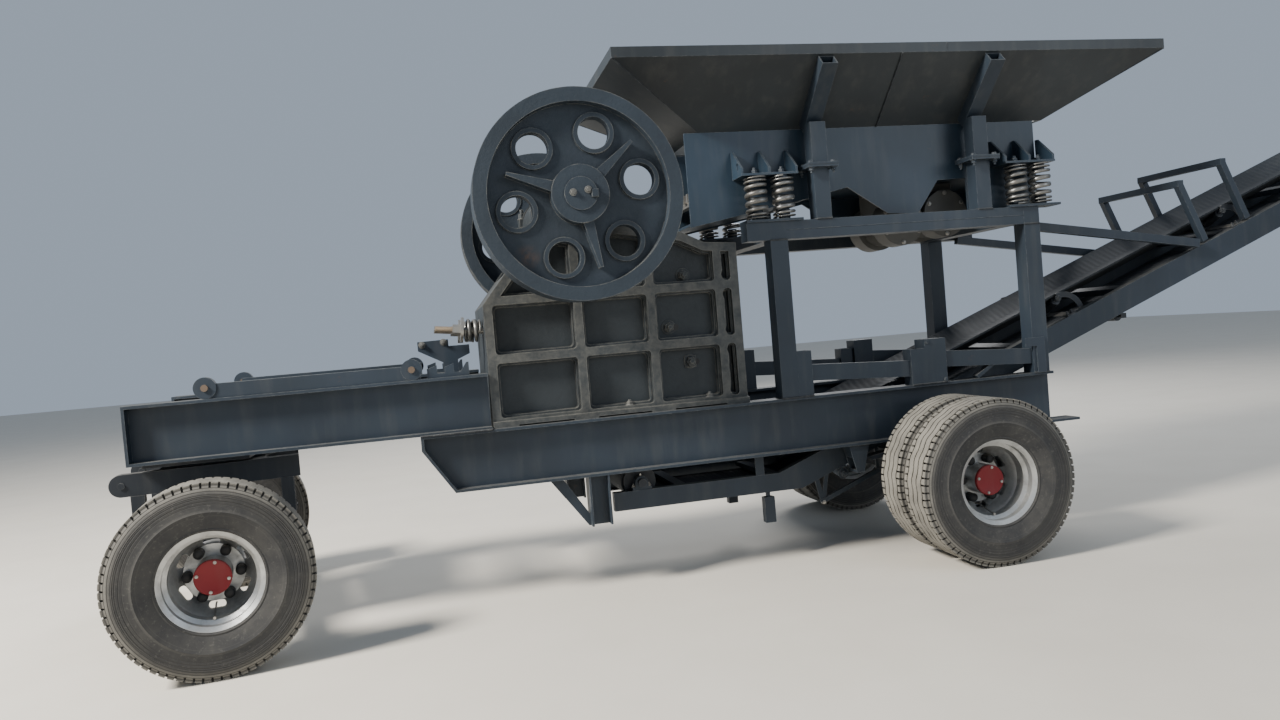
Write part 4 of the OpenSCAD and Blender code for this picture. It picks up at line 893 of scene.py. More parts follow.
@dataclass
class RunningGear:
    """Tyres, nut covers, hub caps, valves and bolts of the six road wheels."""

    looks: Finishes
    tyre_r: float = 0.43
    tyre_w: float = 0.232
    pitch: float = 0.252
    kingpin_x: float = -1900
    rear_x: float = 1993
    front_track: float = 0.874
    rear_track: float = 0.971
    segments: int = 288
    groove_edges: tuple = ((0.017, 0.026), (0.063, 0.072))
    wall_steps: tuple = (
        (0.010, 0.008), (0.020, 0.0058), (0.012, 0.0032), (0.003, -0.0022), (0.003, 0.0022),
        (0.022, 0.001), (0.040, -0.002), (0.004, 0.002), (0.004, -0.002), (0.045, -0.009),
        (0.022, -0.010), (0.006, 0.0015), (0.012, -0.010),
    )
    zigzag: tuple = ((0, 0.0045), (1, 0.0045), (3, -0.0045), (4, -0.0045))
    stations: list[WheelStation] = field(default_factory=list)

    def __post_init__(self) -> None:
        """Work out where the wheels stand from the CAD tyres."""
        kingpin = Vector((along(self.kingpin_x), 0, self.tyre_r))
        for side in Side:
            s, tag = side.value, side.tag
            out = (math.sin(STEER) * -s, math.cos(STEER) * s, 0.0)
            middle = tuple(kingpin + Vector(out) * self.front_track)
            rear = (along(self.rear_x), s * self.rear_track, self.tyre_r)
            self.stations += [
                WheelStation(
                    f"front_{tag}", f"front_wheel_{tag}", middle, out, (0.0,), f"front_tyre_{tag}"
                ),
                WheelStation(
                    f"rear_{tag}", f"rear_wheels_{tag}", rear, (0.0, float(s), 0.0),
                    (0.0, self.pitch), f"rear_tyres_{tag}",
                ),
            ]

    def column(self, c: Vector) -> float:
        """Number of the tread's column at a place, counted round the tyre."""
        return math.atan2(c.y, c.x) / (2 * math.pi / self.segments)

    def tyre(self) -> Piece:
        """Model one tyre about Z: a band cut into ribs, with zigzag grooves, notches and stepped walls.

        Returns:
            The tyre.
        """
        body = Bench.round_bar("tyre", self.tyre_r - 0.012, -0.098, 0.098, self.segments)
        cuts = [edge for pair in self.groove_edges for edge in pair]
        for z in sorted([-cut for cut in cuts] + cuts):
            Bench.hold(body)
            bpy.ops.object.mode_set(mode="EDIT")
            bpy.ops.mesh.select_all(action="SELECT")
            bpy.ops.mesh.bisect(plane_co=(0, 0, z), plane_no=UP)

        # Ribs stand out between the grooves
        def on_rib(c: Vector, n: Vector) -> bool:
            """Whether a face lies on a rib."""
            return abs(n.z) < 0.5 and not any(low < abs(c.z) < high for low, high in self.groove_edges)

        Bench.pick(body, "FACE", on_rib)
        Bench.swell(0.0115)
        # Walls: rings inset and moved step by step from shoulder to bead
        for sign in (-1, 1):
            Bench.pick(body, "FACE", lambda c, n: n.z * sign > 0.9 and c.xy.length < 0.01)
            Bench.terrace(self.wall_steps, sign)
            bpy.ops.mesh.delete(type="FACE")
        Bench.open_edges(body)
        bpy.ops.mesh.bridge_edge_loops()

        # Zigzag: two of six pairs of columns of the grooves' walls move to each side
        def in_tread(c: Vector) -> bool:
            """Whether a point lies on the grooves' walls."""
            return 0.012 < abs(c.z) < 0.078 and c.xy.length > 0.41

        for phase, shift in self.zigzag:
            Bench.pick(body, "VERT", lambda c: in_tread(c) and round(self.column(c)) % 12 // 2 == phase)
            bpy.ops.transform.translate(value=(0, 0, shift))

        def in_notch(c: Vector, n: Vector) -> bool:
            """Whether a face of the shoulder lies in a notch."""
            on_shoulder = 0.080 < abs(c.z) < 0.1115 and c.xy.length > 0.405
            return on_shoulder and math.floor(self.column(c)) % 4 == 0

        Bench.pick(body, "FACE", in_notch)
        Bench.swell(-0.010)
        Bench.clear()
        self.mark(body)
        return Bench.smooth(body, 32)

    def mark(self, body: Piece) -> None:
        """Store what the rubber finish reads: each point's radius, and whether it lies in a groove, where
        the finish paints shade.

        Args:
            body: the tyre.
        """
        mesh = body.data
        radius = mesh.attributes.new("wheel_radius", "FLOAT", "POINT")
        groove_shade = mesh.attributes.new("groove_shade", "FLOAT", "POINT")
        for vertex in mesh.vertices:
            r = vertex.co.xy.length
            radius.data[vertex.index].value = r
            deep = abs(vertex.co.z) < self.tyre_w / 2 - 0.014 and 0.41 < r < 0.4255
            groove_shade.data[vertex.index].value = 1.0 if deep else 0.0

    @staticmethod
    def nut_cover() -> Piece:
        """Model one long black nut cover with a domed end.

        Returns:
            The cover.
        """
        cover = Bench.round_bar("cover", 0.023, 0, 0.058, 20)
        Bench.end(cover)
        Bench.terrace(((0.003, 0.004), (0.006, 0.004), (0.006, 0.0015)))
        Bench.end(cover, -1)
        Bench.push(0, 0, -0.008)
        Bench.widen(1.35)
        return Bench.smooth(cover)

    @staticmethod
    def hub_cap() -> Piece:
        """Model the dished red cap over the hub with its raised edge.

        Returns:
            The cap.
        """
        cap = Bench.round_bar("cap", 0.0785, -0.012, 0.004, 48)
        Bench.end(cap)
        Bench.terrace(((0.004, 0.003), (0.008, 0.0), (0.006, -0.002)))
        return Bench.smooth(cap)

    @staticmethod
    def valve() -> Piece:
        """Model the long bent valve stem.

        Returns:
            The stem.
        """
        stem = Bench.round_bar("valve", 0.0042, 0, 0.030, 10)
        Bench.end(stem)
        Bench.push(0, -0.026, 0.120)
        Bench.push(0, 0, 0)
        Bench.widen(1.55)
        Bench.push(0, -0.004, 0.018)
        return Bench.smooth(stem)

    def build(self) -> None:
        """Model and place everything on every wheel."""
        looks, tyre = self.looks, self.tyre()
        for w in self.stations:
            rubber = Bench.copies(f"{w.tag}_tyre_rubber", tyre, [w.matrix(d) for d in w.tyres], keep=True)
            Bench.dress(rubber, looks.tyre, "tyre_rubber", w.body)
            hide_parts(w.tyre_node)
            covers = Bench.copies(
                f"{w.tag}_nut_covers", self.nut_cover(), w.ring(6, 30, (0, 0.111, -0.126))
            )
            Bench.dress(covers, looks.black_cover, "dark_paint", w.body)
            cap = Bench.copies(f"{w.tag}_hub_cap", self.hub_cap(), [w.matrix()])
            Bench.dress(cap, looks.cap_red, "dark_paint", w.body)
            bolts = w.ring(4, -12, (0, 0.066, 0.004))
            Fastener(0.010, 0.007, 0.0).lay(f"{w.tag}_cap_bolts", bolts, looks.steel, body=w.body)
            seat = w.matrix() @ Matrix.Translation((-0.006, -0.142, -0.136))
            Bench.dress(Bench.copies(f"{w.tag}_valve", self.valve(), [seat]), looks.steel, body=w.body)
        bpy.data.objects.remove(tyre, do_unlink=True)


# Springs and welds


@dataclass
class CoilSpring:
    """A round-wire compression spring with its end turns closed."""

    radius: float
    wire: float
    height: float
    turns: float = 6.0
    sides: int = 12
    per_turn: int = 28
    closing: float = 0.085

    def model(self) -> Piece:
        """Model the spring standing on z = 0.

        Returns:
            The spring.
        """
        Bench.clear()
        bpy.ops.mesh.primitive_circle_add(
            vertices=self.sides, radius=self.wire, location=(self.radius, 0, self.wire),
            rotation=(math.pi / 2, 0, 0),
        )
        climb = self.height - 2 * self.wire
        steps = int(self.per_turn * self.turns)
        spring = Bench.apply(
            Bench.settle("spring"), "SCREW", angle=2 * math.pi * self.turns, screw_offset=climb,
            steps=steps, render_steps=steps, axis="Z", use_smooth_shade=True,
        )
        Bench.seal(spring)
        # The end turns lie flatter than the free ones
        for vertex in spring.data.vertices:
            t = min(max((vertex.co.z - self.wire) / climb, 0), 1)
            vertex.co.z -= self.closing * math.sin(2 * math.pi * t) * climb
        return Bench.smooth(spring, 60)


@dataclass
class WeldBead:
    """A fillet weld laid in small overlapping ripples."""

    radius: float = 0.005
    ripple: float = 0.007
    waist: float = 0.78

    def run(self, start: Point, end: Point) -> Piece:
        """Model one straight run of weld.

        Args:
            start: where the run begins.
            end: where it ends.

        Returns:
            The bead, in place.
        """
        way = Vector(end) - Vector(start)
        Bench.clear()
        bpy.ops.mesh.primitive_cylinder_add(
            vertices=8, radius=self.radius, depth=self.ripple, end_fill_type="NOTHING",
            location=(0, 0, self.ripple / 2),
        )
        bead = Bench.settle("weld")
        Bench.pick(bead, "VERT", lambda c: c.z < self.ripple / 2)
        Bench.widen(self.waist, (0, 0, 0))
        Bench.pick(bead, "EDGE", lambda c: c.z > self.ripple * 0.9)
        Bench.push(0, 0, 0)
        Bench.widen(self.waist, (0, 0, self.ripple))
        Bench.apply(
            bead, "ARRAY", count=max(2, round(way.length / self.ripple)), use_relative_offset=False,
            use_constant_offset=True, constant_offset_displace=(0, 0, self.ripple),
        )
        Bench.seal(bead)
        bead.data.transform(aimed(start, tuple(way)))
        return bead

    def lay(self, name: str, runs: list[tuple[Point, Point]], look: Material) -> None:
        """Lay several runs as one dressed piece."""
        beads = Bench.join(name, [self.run(a, b) for a, b in runs])
        Bench.dress(Bench.smooth(beads, 50), look, "chassis_paint")


# Crusher and feeder


@dataclass
class CrusherTrim:
    """Nuts, end plates' bolts, keys, bearing studs and tension gear of the crusher, in millimetres."""

    looks: Finishes
    pocket_back: float = 370.0
    frame_nuts: tuple = ((608, 1633), (505, 1357), (613, 1162))
    frame_hole_shades: tuple = ((544, 1354), (647, 1159))
    pad_low: tuple = (-34, -31)
    pad_high: tuple = (30, 33)
    pad_t: float = 7.0
    base_bolts: tuple = (250, 698)
    base_top: float = 960.0
    base_bolt_y: float = 400.0
    cap_bolt_x: float = 152.0
    cap_bolt_y: float = 380.0
    cap_foot_z: float = 2075.3
    cap_top: float = 164.0
    shaft_z: float = 2025.0
    plate_face: float = 888.3
    plate_bolt_r: float = 38.0
    plate_bolt_at: tuple = (172.0, 22.0)
    key_at: tuple = (66, -6, -4)
    rod_y: float = 232.0
    rod_out: tuple = (-732.0, 1450.0)
    rod_in: tuple = (305.0, 1330.0)
    rod_tip: float = 95.0
    thread_pitch: float = 2.8
    nut_h: float = 42.0
    washer_t: float = 15.0
    wall_x: float = -480.0
    spring_seat: float = 9.0

    def frame_fasteners(self) -> None:
        """Nuts in the side frames' pockets, black discs painted as the shade in the holes beside them, and
        the bolts in the base flange.
        """
        back, looks = self.pocket_back, self.looks
        nuts = [
            side.outward(x, back, z, math.radians(x * 7 % 60)) for side in Side for x, z in self.frame_nuts
        ]
        Fastener(0.046, 0.024, 0.014, 1.45).lay("frame_nuts", nuts, looks.casting, "cast_paint")
        # Painted shade: a thin black disc stands for the dark inside of each hole
        plug = Bench.round_bar("plug", 0.017, 0, 0.006)
        holes = [side.outward(x, back, z) for side in Side for x, z in self.frame_hole_shades]
        Bench.dress(Bench.copies("frame_hole_shades", plug, holes), looks.black_cover, "cast_paint")
        x, z = self.frame_nuts[-1]
        pads = [
            Bench.block(
                "pad", side.at(x + self.pad_low[0], back, z + self.pad_low[1]),
                side.at(x + self.pad_high[0], back + self.pad_t, z + self.pad_high[1]),
            )
            for side in Side
        ]
        Bench.dress(Bench.bevel(Bench.join("nut_pads", pads), 0.002), looks.casting, "cast_paint")
        heads = [
            side.upright(x, self.base_bolt_y, self.base_top, x) for side in Side for x in self.base_bolts
        ]
        Fastener(0.032, 0.018, 0.008, 1.4).lay("base_bolts", heads, looks.motor)

    def bearings(self) -> None:
        """Stud nuts on the bearing caps and a grease nipple on each."""
        studs = [
            side.upright(s * self.cap_bolt_x, self.cap_bolt_y, self.cap_foot_z, s * 0.3)
            for side in Side for s in (-1, 1)
        ]
        nut = Fastener(0.041, 0.034, 0.024, 1.3)
        nut.lay("bearing_nuts", studs, self.looks.casting, "cast_paint")
        nipple = Bench.round_bar("nipple", 0.006, -0.004, 0.012, 12)
        tops = [side.upright(0, self.cap_bolt_y, self.shaft_z + self.cap_top) for side in Side]
        Bench.dress(Bench.copies("grease_nipples", nipple, tops), self.looks.steel)

    def shaft_ends(self) -> None:
        """Two bolts and the head of the driving key on each end plate."""
        face, shaft, r = self.plate_face, self.shaft_z, self.plate_bolt_r
        bolts = [
            side.outward(r * math.cos(a), face, shaft + r * math.sin(a), a)
            for side in Side for a in map(math.radians, self.plate_bolt_at)
        ]
        bolt = Fastener(0.021, 0.013, 0.0, 1.5)
        bolt.lay("end_plate_bolts", bolts, self.looks.motor, body="rotor")
        key = Bench.block("key", (-0.018, -0.020, 0), (0.018, 0.020, 0.016))
        Bench.end(key)
        Bench.inset(0.004, 0.002)
        Bench.bevel(key, 0.002)
        x, y, z = self.key_at
        keys = [side.outward(x, face + y, shaft + z) for side in Side]
        Bench.dress(Bench.copies("key_heads", key, keys), self.looks.wheel_casting, body="rotor")

    def tension_gear(self) -> None:
        """Round-wire springs in place of the plain ones, and threads on the rods' tips."""
        out, inner = Vector(self.rod_out), Vector(self.rod_in)
        way, length = (out - inner).normalized(), (out - inner).length
        wall = (self.rod_in[0] - self.wall_x) / -way.x
        room = length - self.rod_tip - self.nut_h - self.washer_t - wall - self.spring_seat

        def on_rods(reach: float) -> Places:
            """Places on both rods, that far out from their inner ends."""
            at = inner + way * reach
            return [aimed(side.at(at.x, self.rod_y, at.y), (way.x, 0, way.y)) for side in Side]

        coil = CoilSpring(0.053, 0.0085, room / 1000, 3.0).model()
        springs = Bench.copies("tension_coils", coil, on_rods(wall + self.spring_seat))
        Bench.dress(springs, self.looks.worn_spring)
        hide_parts("tension_springs")
        pitch = self.thread_pitch / 1000
        ridge = Bench.round_bar("thread", 0.0155, 0, pitch, 20)
        Bench.pick(ridge, "FACE", lambda c, n: abs(n.z) < 0.5)
        bpy.ops.mesh.subdivide(number_cuts=1)
        Bench.pick(ridge, "VERT", lambda c: 0.0005 < c.z < 0.0023)
        Bench.widen(1.085, (0, 0, 0))
        Bench.pick(ridge, "FACE", lambda c, n: abs(n.z) > 0.9)
        bpy.ops.mesh.delete(type="FACE")
        count = int(self.rod_tip / self.thread_pitch) - 1
        tips = on_rods(length - self.rod_tip)
        rows = [tip @ Matrix.Translation((0, 0, pitch * k)) for tip in tips for k in range(count)]
        Bench.dress(Bench.seal(Bench.copies("rod_threads", ridge, rows)), self.looks.thread)

    def build(self) -> None:
        """Model the crusher's fasteners and tension gear."""
        self.frame_fasteners()
        self.bearings()
        self.shaft_ends()
        self.tension_gear()


@dataclass
class FeederMount:
    """Coil springs, spring guides, bracket bolts and flange bolts under the feeder, in millimetres."""

    looks: Finishes
    spring_x: tuple = (1036, 1192, 2640, 2795)
    spring_y: float = 450.0
    seat_z: float = 1892.3
    spring_h: float = 242.4
    bracket_top: float = 2147.0
    bracket_t: float = 12.0
    rail_y: float = 500.0
    leg_x: tuple = (1360, 2350)
    leg_side: float = 90.0
    flange_out: float = 42.0
    flange_z: float = 2170.0
    flange_pair: float = 24.0

    def springs(self) -> None:
        """Eight coil springs in worn spring steel, on guide tubes top and bottom."""
        y, looks = self.spring_y, self.looks
        spots = [(side, x) for side in Side for x in self.spring_x]
        feet = [side.upright(x, y, self.seat_z, x) for side, x in spots]
        coil = CoilSpring(0.0545, 0.0088, self.spring_h / 1000, 7.5).model()
        coils = Bench.dress(Bench.copies("feeder_coils", coil, feet), looks.worn_spring, "dark_paint")
        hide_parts("feeder_springs")
        guide = Bench.round_bar("guide", 0.032, 0, 0.055)
        guides = feet + [side.hanging(x, y, self.bracket_top - self.bracket_t) for side, x in spots]
        tubes = Bench.smooth(Bench.copies("spring_guides", guide, guides))
        Bench.dress(tubes, looks.chassis, "dark_paint")
        heads = [side.upright(x, y, self.bracket_top, x * 0.1) for side, x in spots]
        Fastener(0.030, 0.019, 0.012).lay("bracket_bolts", heads, looks.chassis)

    def flanges(self) -> None:
        """Four bolts through each leg's flange pair, and the dark line where the two plates meet."""
        tops, undersides, lines = [], [], []
        inset, half, z = self.flange_out / 2, self.flange_pair / 2, self.flange_z
        out, line_half = self.flange_out + 0.6, 0.9
        inner_y = self.rail_y - self.leg_side
        for side in Side:
            for x in self.leg_x:
                end = x + self.leg_side
                for cx in (x - inset, end + inset):
                    for cy in (self.rail_y + inset, inner_y - inset):
                        tops.append(side.upright(cx, cy, z + half, 0.4))
                        undersides.append(side.hanging(cx, cy, z - half, 0.1))
                corner = side.at(x - out, self.rail_y + out, z - line_half)
                lines.append(Bench.block("line", corner, side.at(end + out, inner_y - out, z + line_half)))
        chassis = self.looks.chassis
        Bench.dress(Bench.join("flange_joints", lines), self.looks.black_cover, "chassis_paint")
        Fastener(0.024, 0.012, 0.0).lay("flange_heads", tops, chassis)
        Fastener(0.024, 0.018, 0.012).lay("flange_nuts", undersides, chassis)

    def build(self) -> None:
        """Model everything between the frame and the feeder."""
        self.springs()
        self.flanges()


@dataclass
class HopperTrim:
    """Weld seams and the lip's joint on the hopper, in millimetres."""

    looks: Finishes
    low_z: float = 2405.3
    low_y: float = 335.0
    foot_z: float = 2722.0
    rim_y: float = 680.0
    top_z: float = 2775.0
    low_x: tuple = (771.0, 2920.0)
    rim_x: tuple = (246.0, 3502.0)
    sheet_joint_x: float = 1838.0
    lip_joint_x: float = 2111.0

    def build(self) -> None:
        """Lay the corner welds, the seams where two sheets meet, and the lip's joints."""
        runs, joints = [], []
        sheet, lip = self.sheet_joint_x, self.lip_joint_x
        for side in Side:
            for low_x, rim_x in zip(self.low_x, self.rim_x):
                foot = side.at(low_x, self.low_y, self.low_z + 6)
                runs.append((foot, side.at(rim_x, self.rim_y, self.foot_z)))
            foot = side.at(sheet, self.low_y + 3, self.low_z - 2)
            runs.append((foot, side.at(sheet + 6, self.rim_y + 1, self.foot_z - 4)))
        for side in Side:
            corner = side.at(lip, self.rim_y - 9.5, self.foot_z)
            opposite = side.at(lip + 4, self.rim_y + 1.2, self.top_z + 0.8)
            joints.append(Bench.block("joint", corner, opposite))
        weld = self.looks.weld
        WeldBead(0.0045).lay("hopper_welds", runs, weld)
        Bench.dress(Bench.join("lip_joints", joints), weld, "chassis_paint")


@dataclass
class VibratorTrim:
    """Fins, end covers, feet and bolts of the two vibrating motors, in millimetres."""

    looks: Finishes
    places: tuple = ((2318.0, 1900.0), (2028.0, 1865.0))
    drum_r: float = 140.0
    body_r: float = 105.0
    half: float = 210.0
    bolt_r: float = 122.0
    foot_z: float = 2055.0
    fins: int = 7
    fin_gap: float = 22.0

    def build(self) -> None:
        """Model the motors' fins, end covers and bolts."""
        ends, fins, bolts, feet = [], [], [], []
        for x, z in self.places:
            for side in Side:
                ends.append(side.outward(x, self.half, z))
                for a in (math.radians(60 * k + 30) for k in range(6)):
                    at = (x + self.bolt_r * math.cos(a), self.half + 3, z + self.bolt_r * math.sin(a))
                    bolts.append(side.outward(*at, a))
                feet += [side.hanging(x + dx, 60, self.foot_z) for dx in (-85, 85)]
            rows = (self.fin_gap * (k - self.fins // 2) for k in range(self.fins))
            fins += [aimed(spot(x, y, z), (0, 1, 0)) for y in rows]
        motor, steel = self.looks.motor, self.looks.steel
        cover = Bench.round_bar("cover", self.drum_r / 1000 - 0.001, 0, 0.003, 56)
        covers = Bench.smooth(Bench.copies("vibrator_covers", cover, ends))
        Bench.dress(covers, motor, "dark_paint")
        fin = Bench.round_bar("fin", self.body_r / 1000 + 0.012, -0.003, 0.003, 48)
        ribs = Bench.smooth(Bench.copies("vibrator_fins", Bench.bevel(fin, 0.0015), fins))
        Bench.dress(ribs, motor, "dark_paint")
        Fastener(0.017, 0.011, 0.0).lay("cover_bolts", bolts, steel)
        Fastener(0.030, 0.022, 0.014).lay("vibrator_feet_nuts", feet, steel)


# Chassis


@dataclass
class UBolt:
    """A round bar bent over a spring pack, standing on its two legs."""

    half: float
    leg: float
    bar: float = 0.007
    bends: int = 8
    crown: float = 0.4

    def model(self) -> Piece:
        """Model the bolt in the Y-Z plane, its legs' feet on z = 0.

        Returns:
            The bolt.
        """
        Bench.clear()
        bpy.ops.mesh.primitive_circle_add(
            vertices=12, radius=self.bar, fill_type="NGON", location=(0, -self.half, 0)
        )
        bolt = Bench.settle("ubolt")
        Bench.pick(bolt, "FACE", lambda c, n: True)
        Bench.push(0, 0, self.leg)
        rise = self.crown * self.half
        turn = math.pi / self.bends
        for k in range(self.bends):
            a, b = turn * k, turn * (k + 1)
            across = self.half * (math.cos(a) - math.cos(b))
            Bench.push(0, across, rise * (math.sin(b) - math.sin(a)))
            middle = (0, -self.half * math.cos(b), self.leg + rise * math.sin(b))
            bpy.ops.transform.rotate(value=turn, orient_axis="X", center_override=middle)
        Bench.push(0, 0, -self.leg)
        Bench.face_outwards()
        return Bench.smooth(bolt, 50)


@dataclass(frozen=True)
class SpringPair:
    """The two leaf springs over one axle, in millimetres."""

    tag: str
    body: str
    axle_x: float
    spring_y: float
    pack_top: float
    clip_z: float
    clip_half: float
    turn: float = 0.0

    def at(self, x: float, y: float, z: float) -> Point:
        """Point measured from the axle's middle and turned with the axle."""
        c, s = math.cos(self.turn), math.sin(self.turn)
        return spot(self.axle_x + x * c - y * s, x * s + y * c, z)

    def upright(self, x: float, y: float, z: float) -> Matrix:
        """Place that is turned with the axle and faces up."""
        return Matrix.Translation(self.at(x, y, z)) @ Matrix.Rotation(self.turn, 4, "Z")


@dataclass
class ChassisTrim:
    """U-bolts, spring clips, pins, welds and bracket bolts of the chassis, in millimetres."""

    looks: Finishes
    rear: SpringPair = SpringPair("rear", "plant", 1993.0, 437.0, 572.3, 562.0, 37.5)
    front: SpringPair = SpringPair("front", "dolly", -1900.0, 330.0, 560.3, 549.0, 35.0, STEER)
    axle_foot: float = 370.0
    clamp_x: float = 71.0
    clamp_half: float = 46.0
    clip_reach: float = 240.0
    beam_z: tuple = (615.0, 915.0)
    beam_outer: float = 500.0
    beam_inner: float = 374.0
    lap: tuple = (-847.0, -490.0)
    bar_ends: tuple = (-1820.0, -861.0)
    bar_eye: tuple = (492.0, 1252.9)
    bracket_bolts: tuple = ((-803, 1371), (-690, 1378))
    bracket_face: float = -156.0
    hangers: tuple = (1513.0, 2473.0)
    dolly_eye: tuple = (-400.0, 821.2)
    eye_half: float = 30.0
    kingpin_z: float = 915.6

    def axle_clamps(self) -> None:
        """U-bolts over both axles' springs, with their plates and nuts below."""
        foot, under = self.axle_foot, self.looks.under
        for pair in (self.rear, self.front):
            bolts, nuts, plates = [], [], []
            for y in (side.value * pair.spring_y for side in Side):
                plates.append(pair.upright(0, y, foot - 15))
                for x in (-self.clamp_x, self.clamp_x):
                    bolts.append(pair.upright(x, y, foot - 26))
                    for dy in (-self.clamp_half, self.clamp_half):
                        nuts.append(aimed(pair.at(x, y + dy, foot - 15), DOWN, 0.3))
            bolt = UBolt(self.clamp_half / 1000, (pair.pack_top - foot + 22) / 1000).model()
            bars = Bench.copies(f"{pair.tag}_ubolts", bolt, bolts)
            Bench.dress(bars, under, "dark_paint", pair.body)
            plate = Bench.bevel(Bench.block("plate", (-0.095, -0.066, 0), (0.095, 0.066, 0.0147)), 0.003)
            seats = Bench.copies(f"{pair.tag}_spring_plates", plate, plates)
            Bench.dress(seats, under, "dark_paint", pair.body)
            nut = Fastener(0.024, 0.018, 0.012)
            nut.lay(f"{pair.tag}_ubolt_nuts", nuts, self.looks.rust_edge, body=pair.body)

    def spring_clips(self) -> None:
        """Straps round the leaves, halfway along each spring."""
        for pair in (self.rear, self.front):
            half = pair.clip_half / 1000 + 0.004
            strap = Bench.bevel(Bench.block("strap", (-0.014, -half, -0.040), (0.014, half, 0.004)), 0.002)
            places = [
                pair.upright(x, side.value * pair.spring_y, pair.clip_z)
                for side in Side for x in (-self.clip_reach, self.clip_reach)
            ]
            clips = Bench.copies(f"{pair.tag}_spring_clips", strap, places)
            Bench.dress(clips, self.looks.under, "dark_paint", pair.body)

    def pins(self) -> None:
        """Pins in the deck bars' eyes and in the eyes of the dolly's side bars."""
        y, z = self.bar_eye
        pin = Bench.round_bar("pin", 0.0165, -0.046, 0.010)
        eyes = [side.outward(x, y, z) for side in Side for x in self.bar_ends]
        Bench.dress(Bench.smooth(Bench.copies("deck_pins", pin, eyes)), self.looks.rust_edge)
        half = self.eye_half / 1000 + 0.006
        pin = Bench.round_bar("pin", 0.0155, -half, half)
        Bench.end(pin)
        Bench.push(0, 0, 0.0005)
        Bench.widen(1.6)
        Bench.push(0, 0, 0.006)
        Bench.inset(0.003, 0.0015)
        x, z = self.dolly_eye
        across = (math.sin(-STEER), math.cos(STEER), 0)
        eyes = [aimed(self.front.at(x, side.value * self.front.spring_y, z), across) for side in Side]
        pins = Bench.smooth(Bench.copies("dolly_pins", pin, eyes))
        Bench.dress(pins, self.looks.under, "dark_paint", self.front.body)

    def bolts(self) -> None:
        """The two bolts in the upright bracket and the kingpin's big nut on the turntable."""
        heads = [aimed(spot(x, self.bracket_face, z), (0, -1, 0)) for x, z in self.bracket_bolts]
        Fastener(0.024, 0.015, 0.006).lay("bracket_plate_bolts", heads, self.looks.motor)
        top = [aimed(self.front.at(0, 0, self.kingpin_z), UP)]
        nut = Fastener(0.085, 0.045, 0.018, 1.25)
        nut.lay("kingpin_nut", top, self.looks.under, "dark_paint", self.front.body)

    def welds(self) -> None:
        """Fillet welds where the beams lap, under the hangers, and round the posts' feet."""
        low, high = self.beam_z
        top, outer, inner = high + 1, self.beam_outer, self.beam_inner
        back, end = self.lap
        foot_y = self.rear.spring_y + 49
        lines = [
            (back, outer + 1, high, end, outer + 1), (back, inner - 1, high, end, inner - 1),
            (end + 2, inner, top, end + 2, outer),
            *((x - 58, foot_y, low, x + 58, foot_y) for x in self.hangers),
            (1080, 500, top, 1080, 400), (1180, 500, top, 1180, 400),
            (1080, 501, top, 1264, 501), (1860, 501, top, 2080, 501),
        ]
        runs = [(side.at(x, y, z), side.at(u, v, z)) for side in Side for x, y, z, u, v in lines]
        for side, x in ((Side.NEAR, 2640), (Side.FAR, 2547)):
            runs.append((side.at(x, 501, top), side.at(x + 100, 501, top)))
        WeldBead(0.006).lay("chassis_welds", runs, self.looks.weld)

    def build(self) -> None:
        """Model the chassis's small parts."""
        self.axle_clamps()
        self.spring_clips()
        self.pins()
        self.bolts()
        self.welds()


@dataclass
class FrameTrim:
    """Welds of the feeder frame and the mid-height seam of its rails, in millimetres."""

    looks: Finishes
    outer: float = 500.0
    side: float = 100.0
    rail_z: tuple = (1780.0, 1880.0)
    front_post: float = 1080.0
    rear_posts: tuple = (2640.0, 2547.0)
    legs: tuple = (1360.0, 2350.0)
    leg_side: float = 90.0
    box_bolts: tuple = ((1963.0, 1153.0), (2066.0, 931.0))

    def build(self) -> None:
        """Lay the welds where posts meet rails and legs stand on them, and the rails' seam."""
        low, top = self.rail_z
        middle = (low + top) / 2
        runs, seams = [], []
        y, inner = self.outer + 1, self.outer - self.side + 10
        for side, rear in zip(Side, self.rear_posts):
            for x in (self.front_post, rear):
                runs.append((side.at(x, y, low), side.at(x + self.side, y, low)))
            for x in self.legs:
                end = x + self.leg_side
                runs.append((side.at(x, y, top), side.at(end, y, top)))
                runs += [(side.at(edge, y, top), side.at(edge, inner, top)) for edge in (x, end)]
            start = side.at(self.front_post + self.side, self.outer, middle)
            seams.append((start, side.at(rear, self.outer, middle)))
        chassis = self.looks.chassis
        WeldBead(0.0055).lay("frame_welds", runs, self.looks.weld)
        WeldBead(0.0022, 0.009).lay("rail_seams", seams, chassis)
        heads = [side.outward(x, self.outer, z, 0.3) for side in Side for x, z in self.box_bolts]
        Fastener(0.015, 0.010, 0.0, 1.5).lay("box_bolts", heads, chassis)


# Conveyor


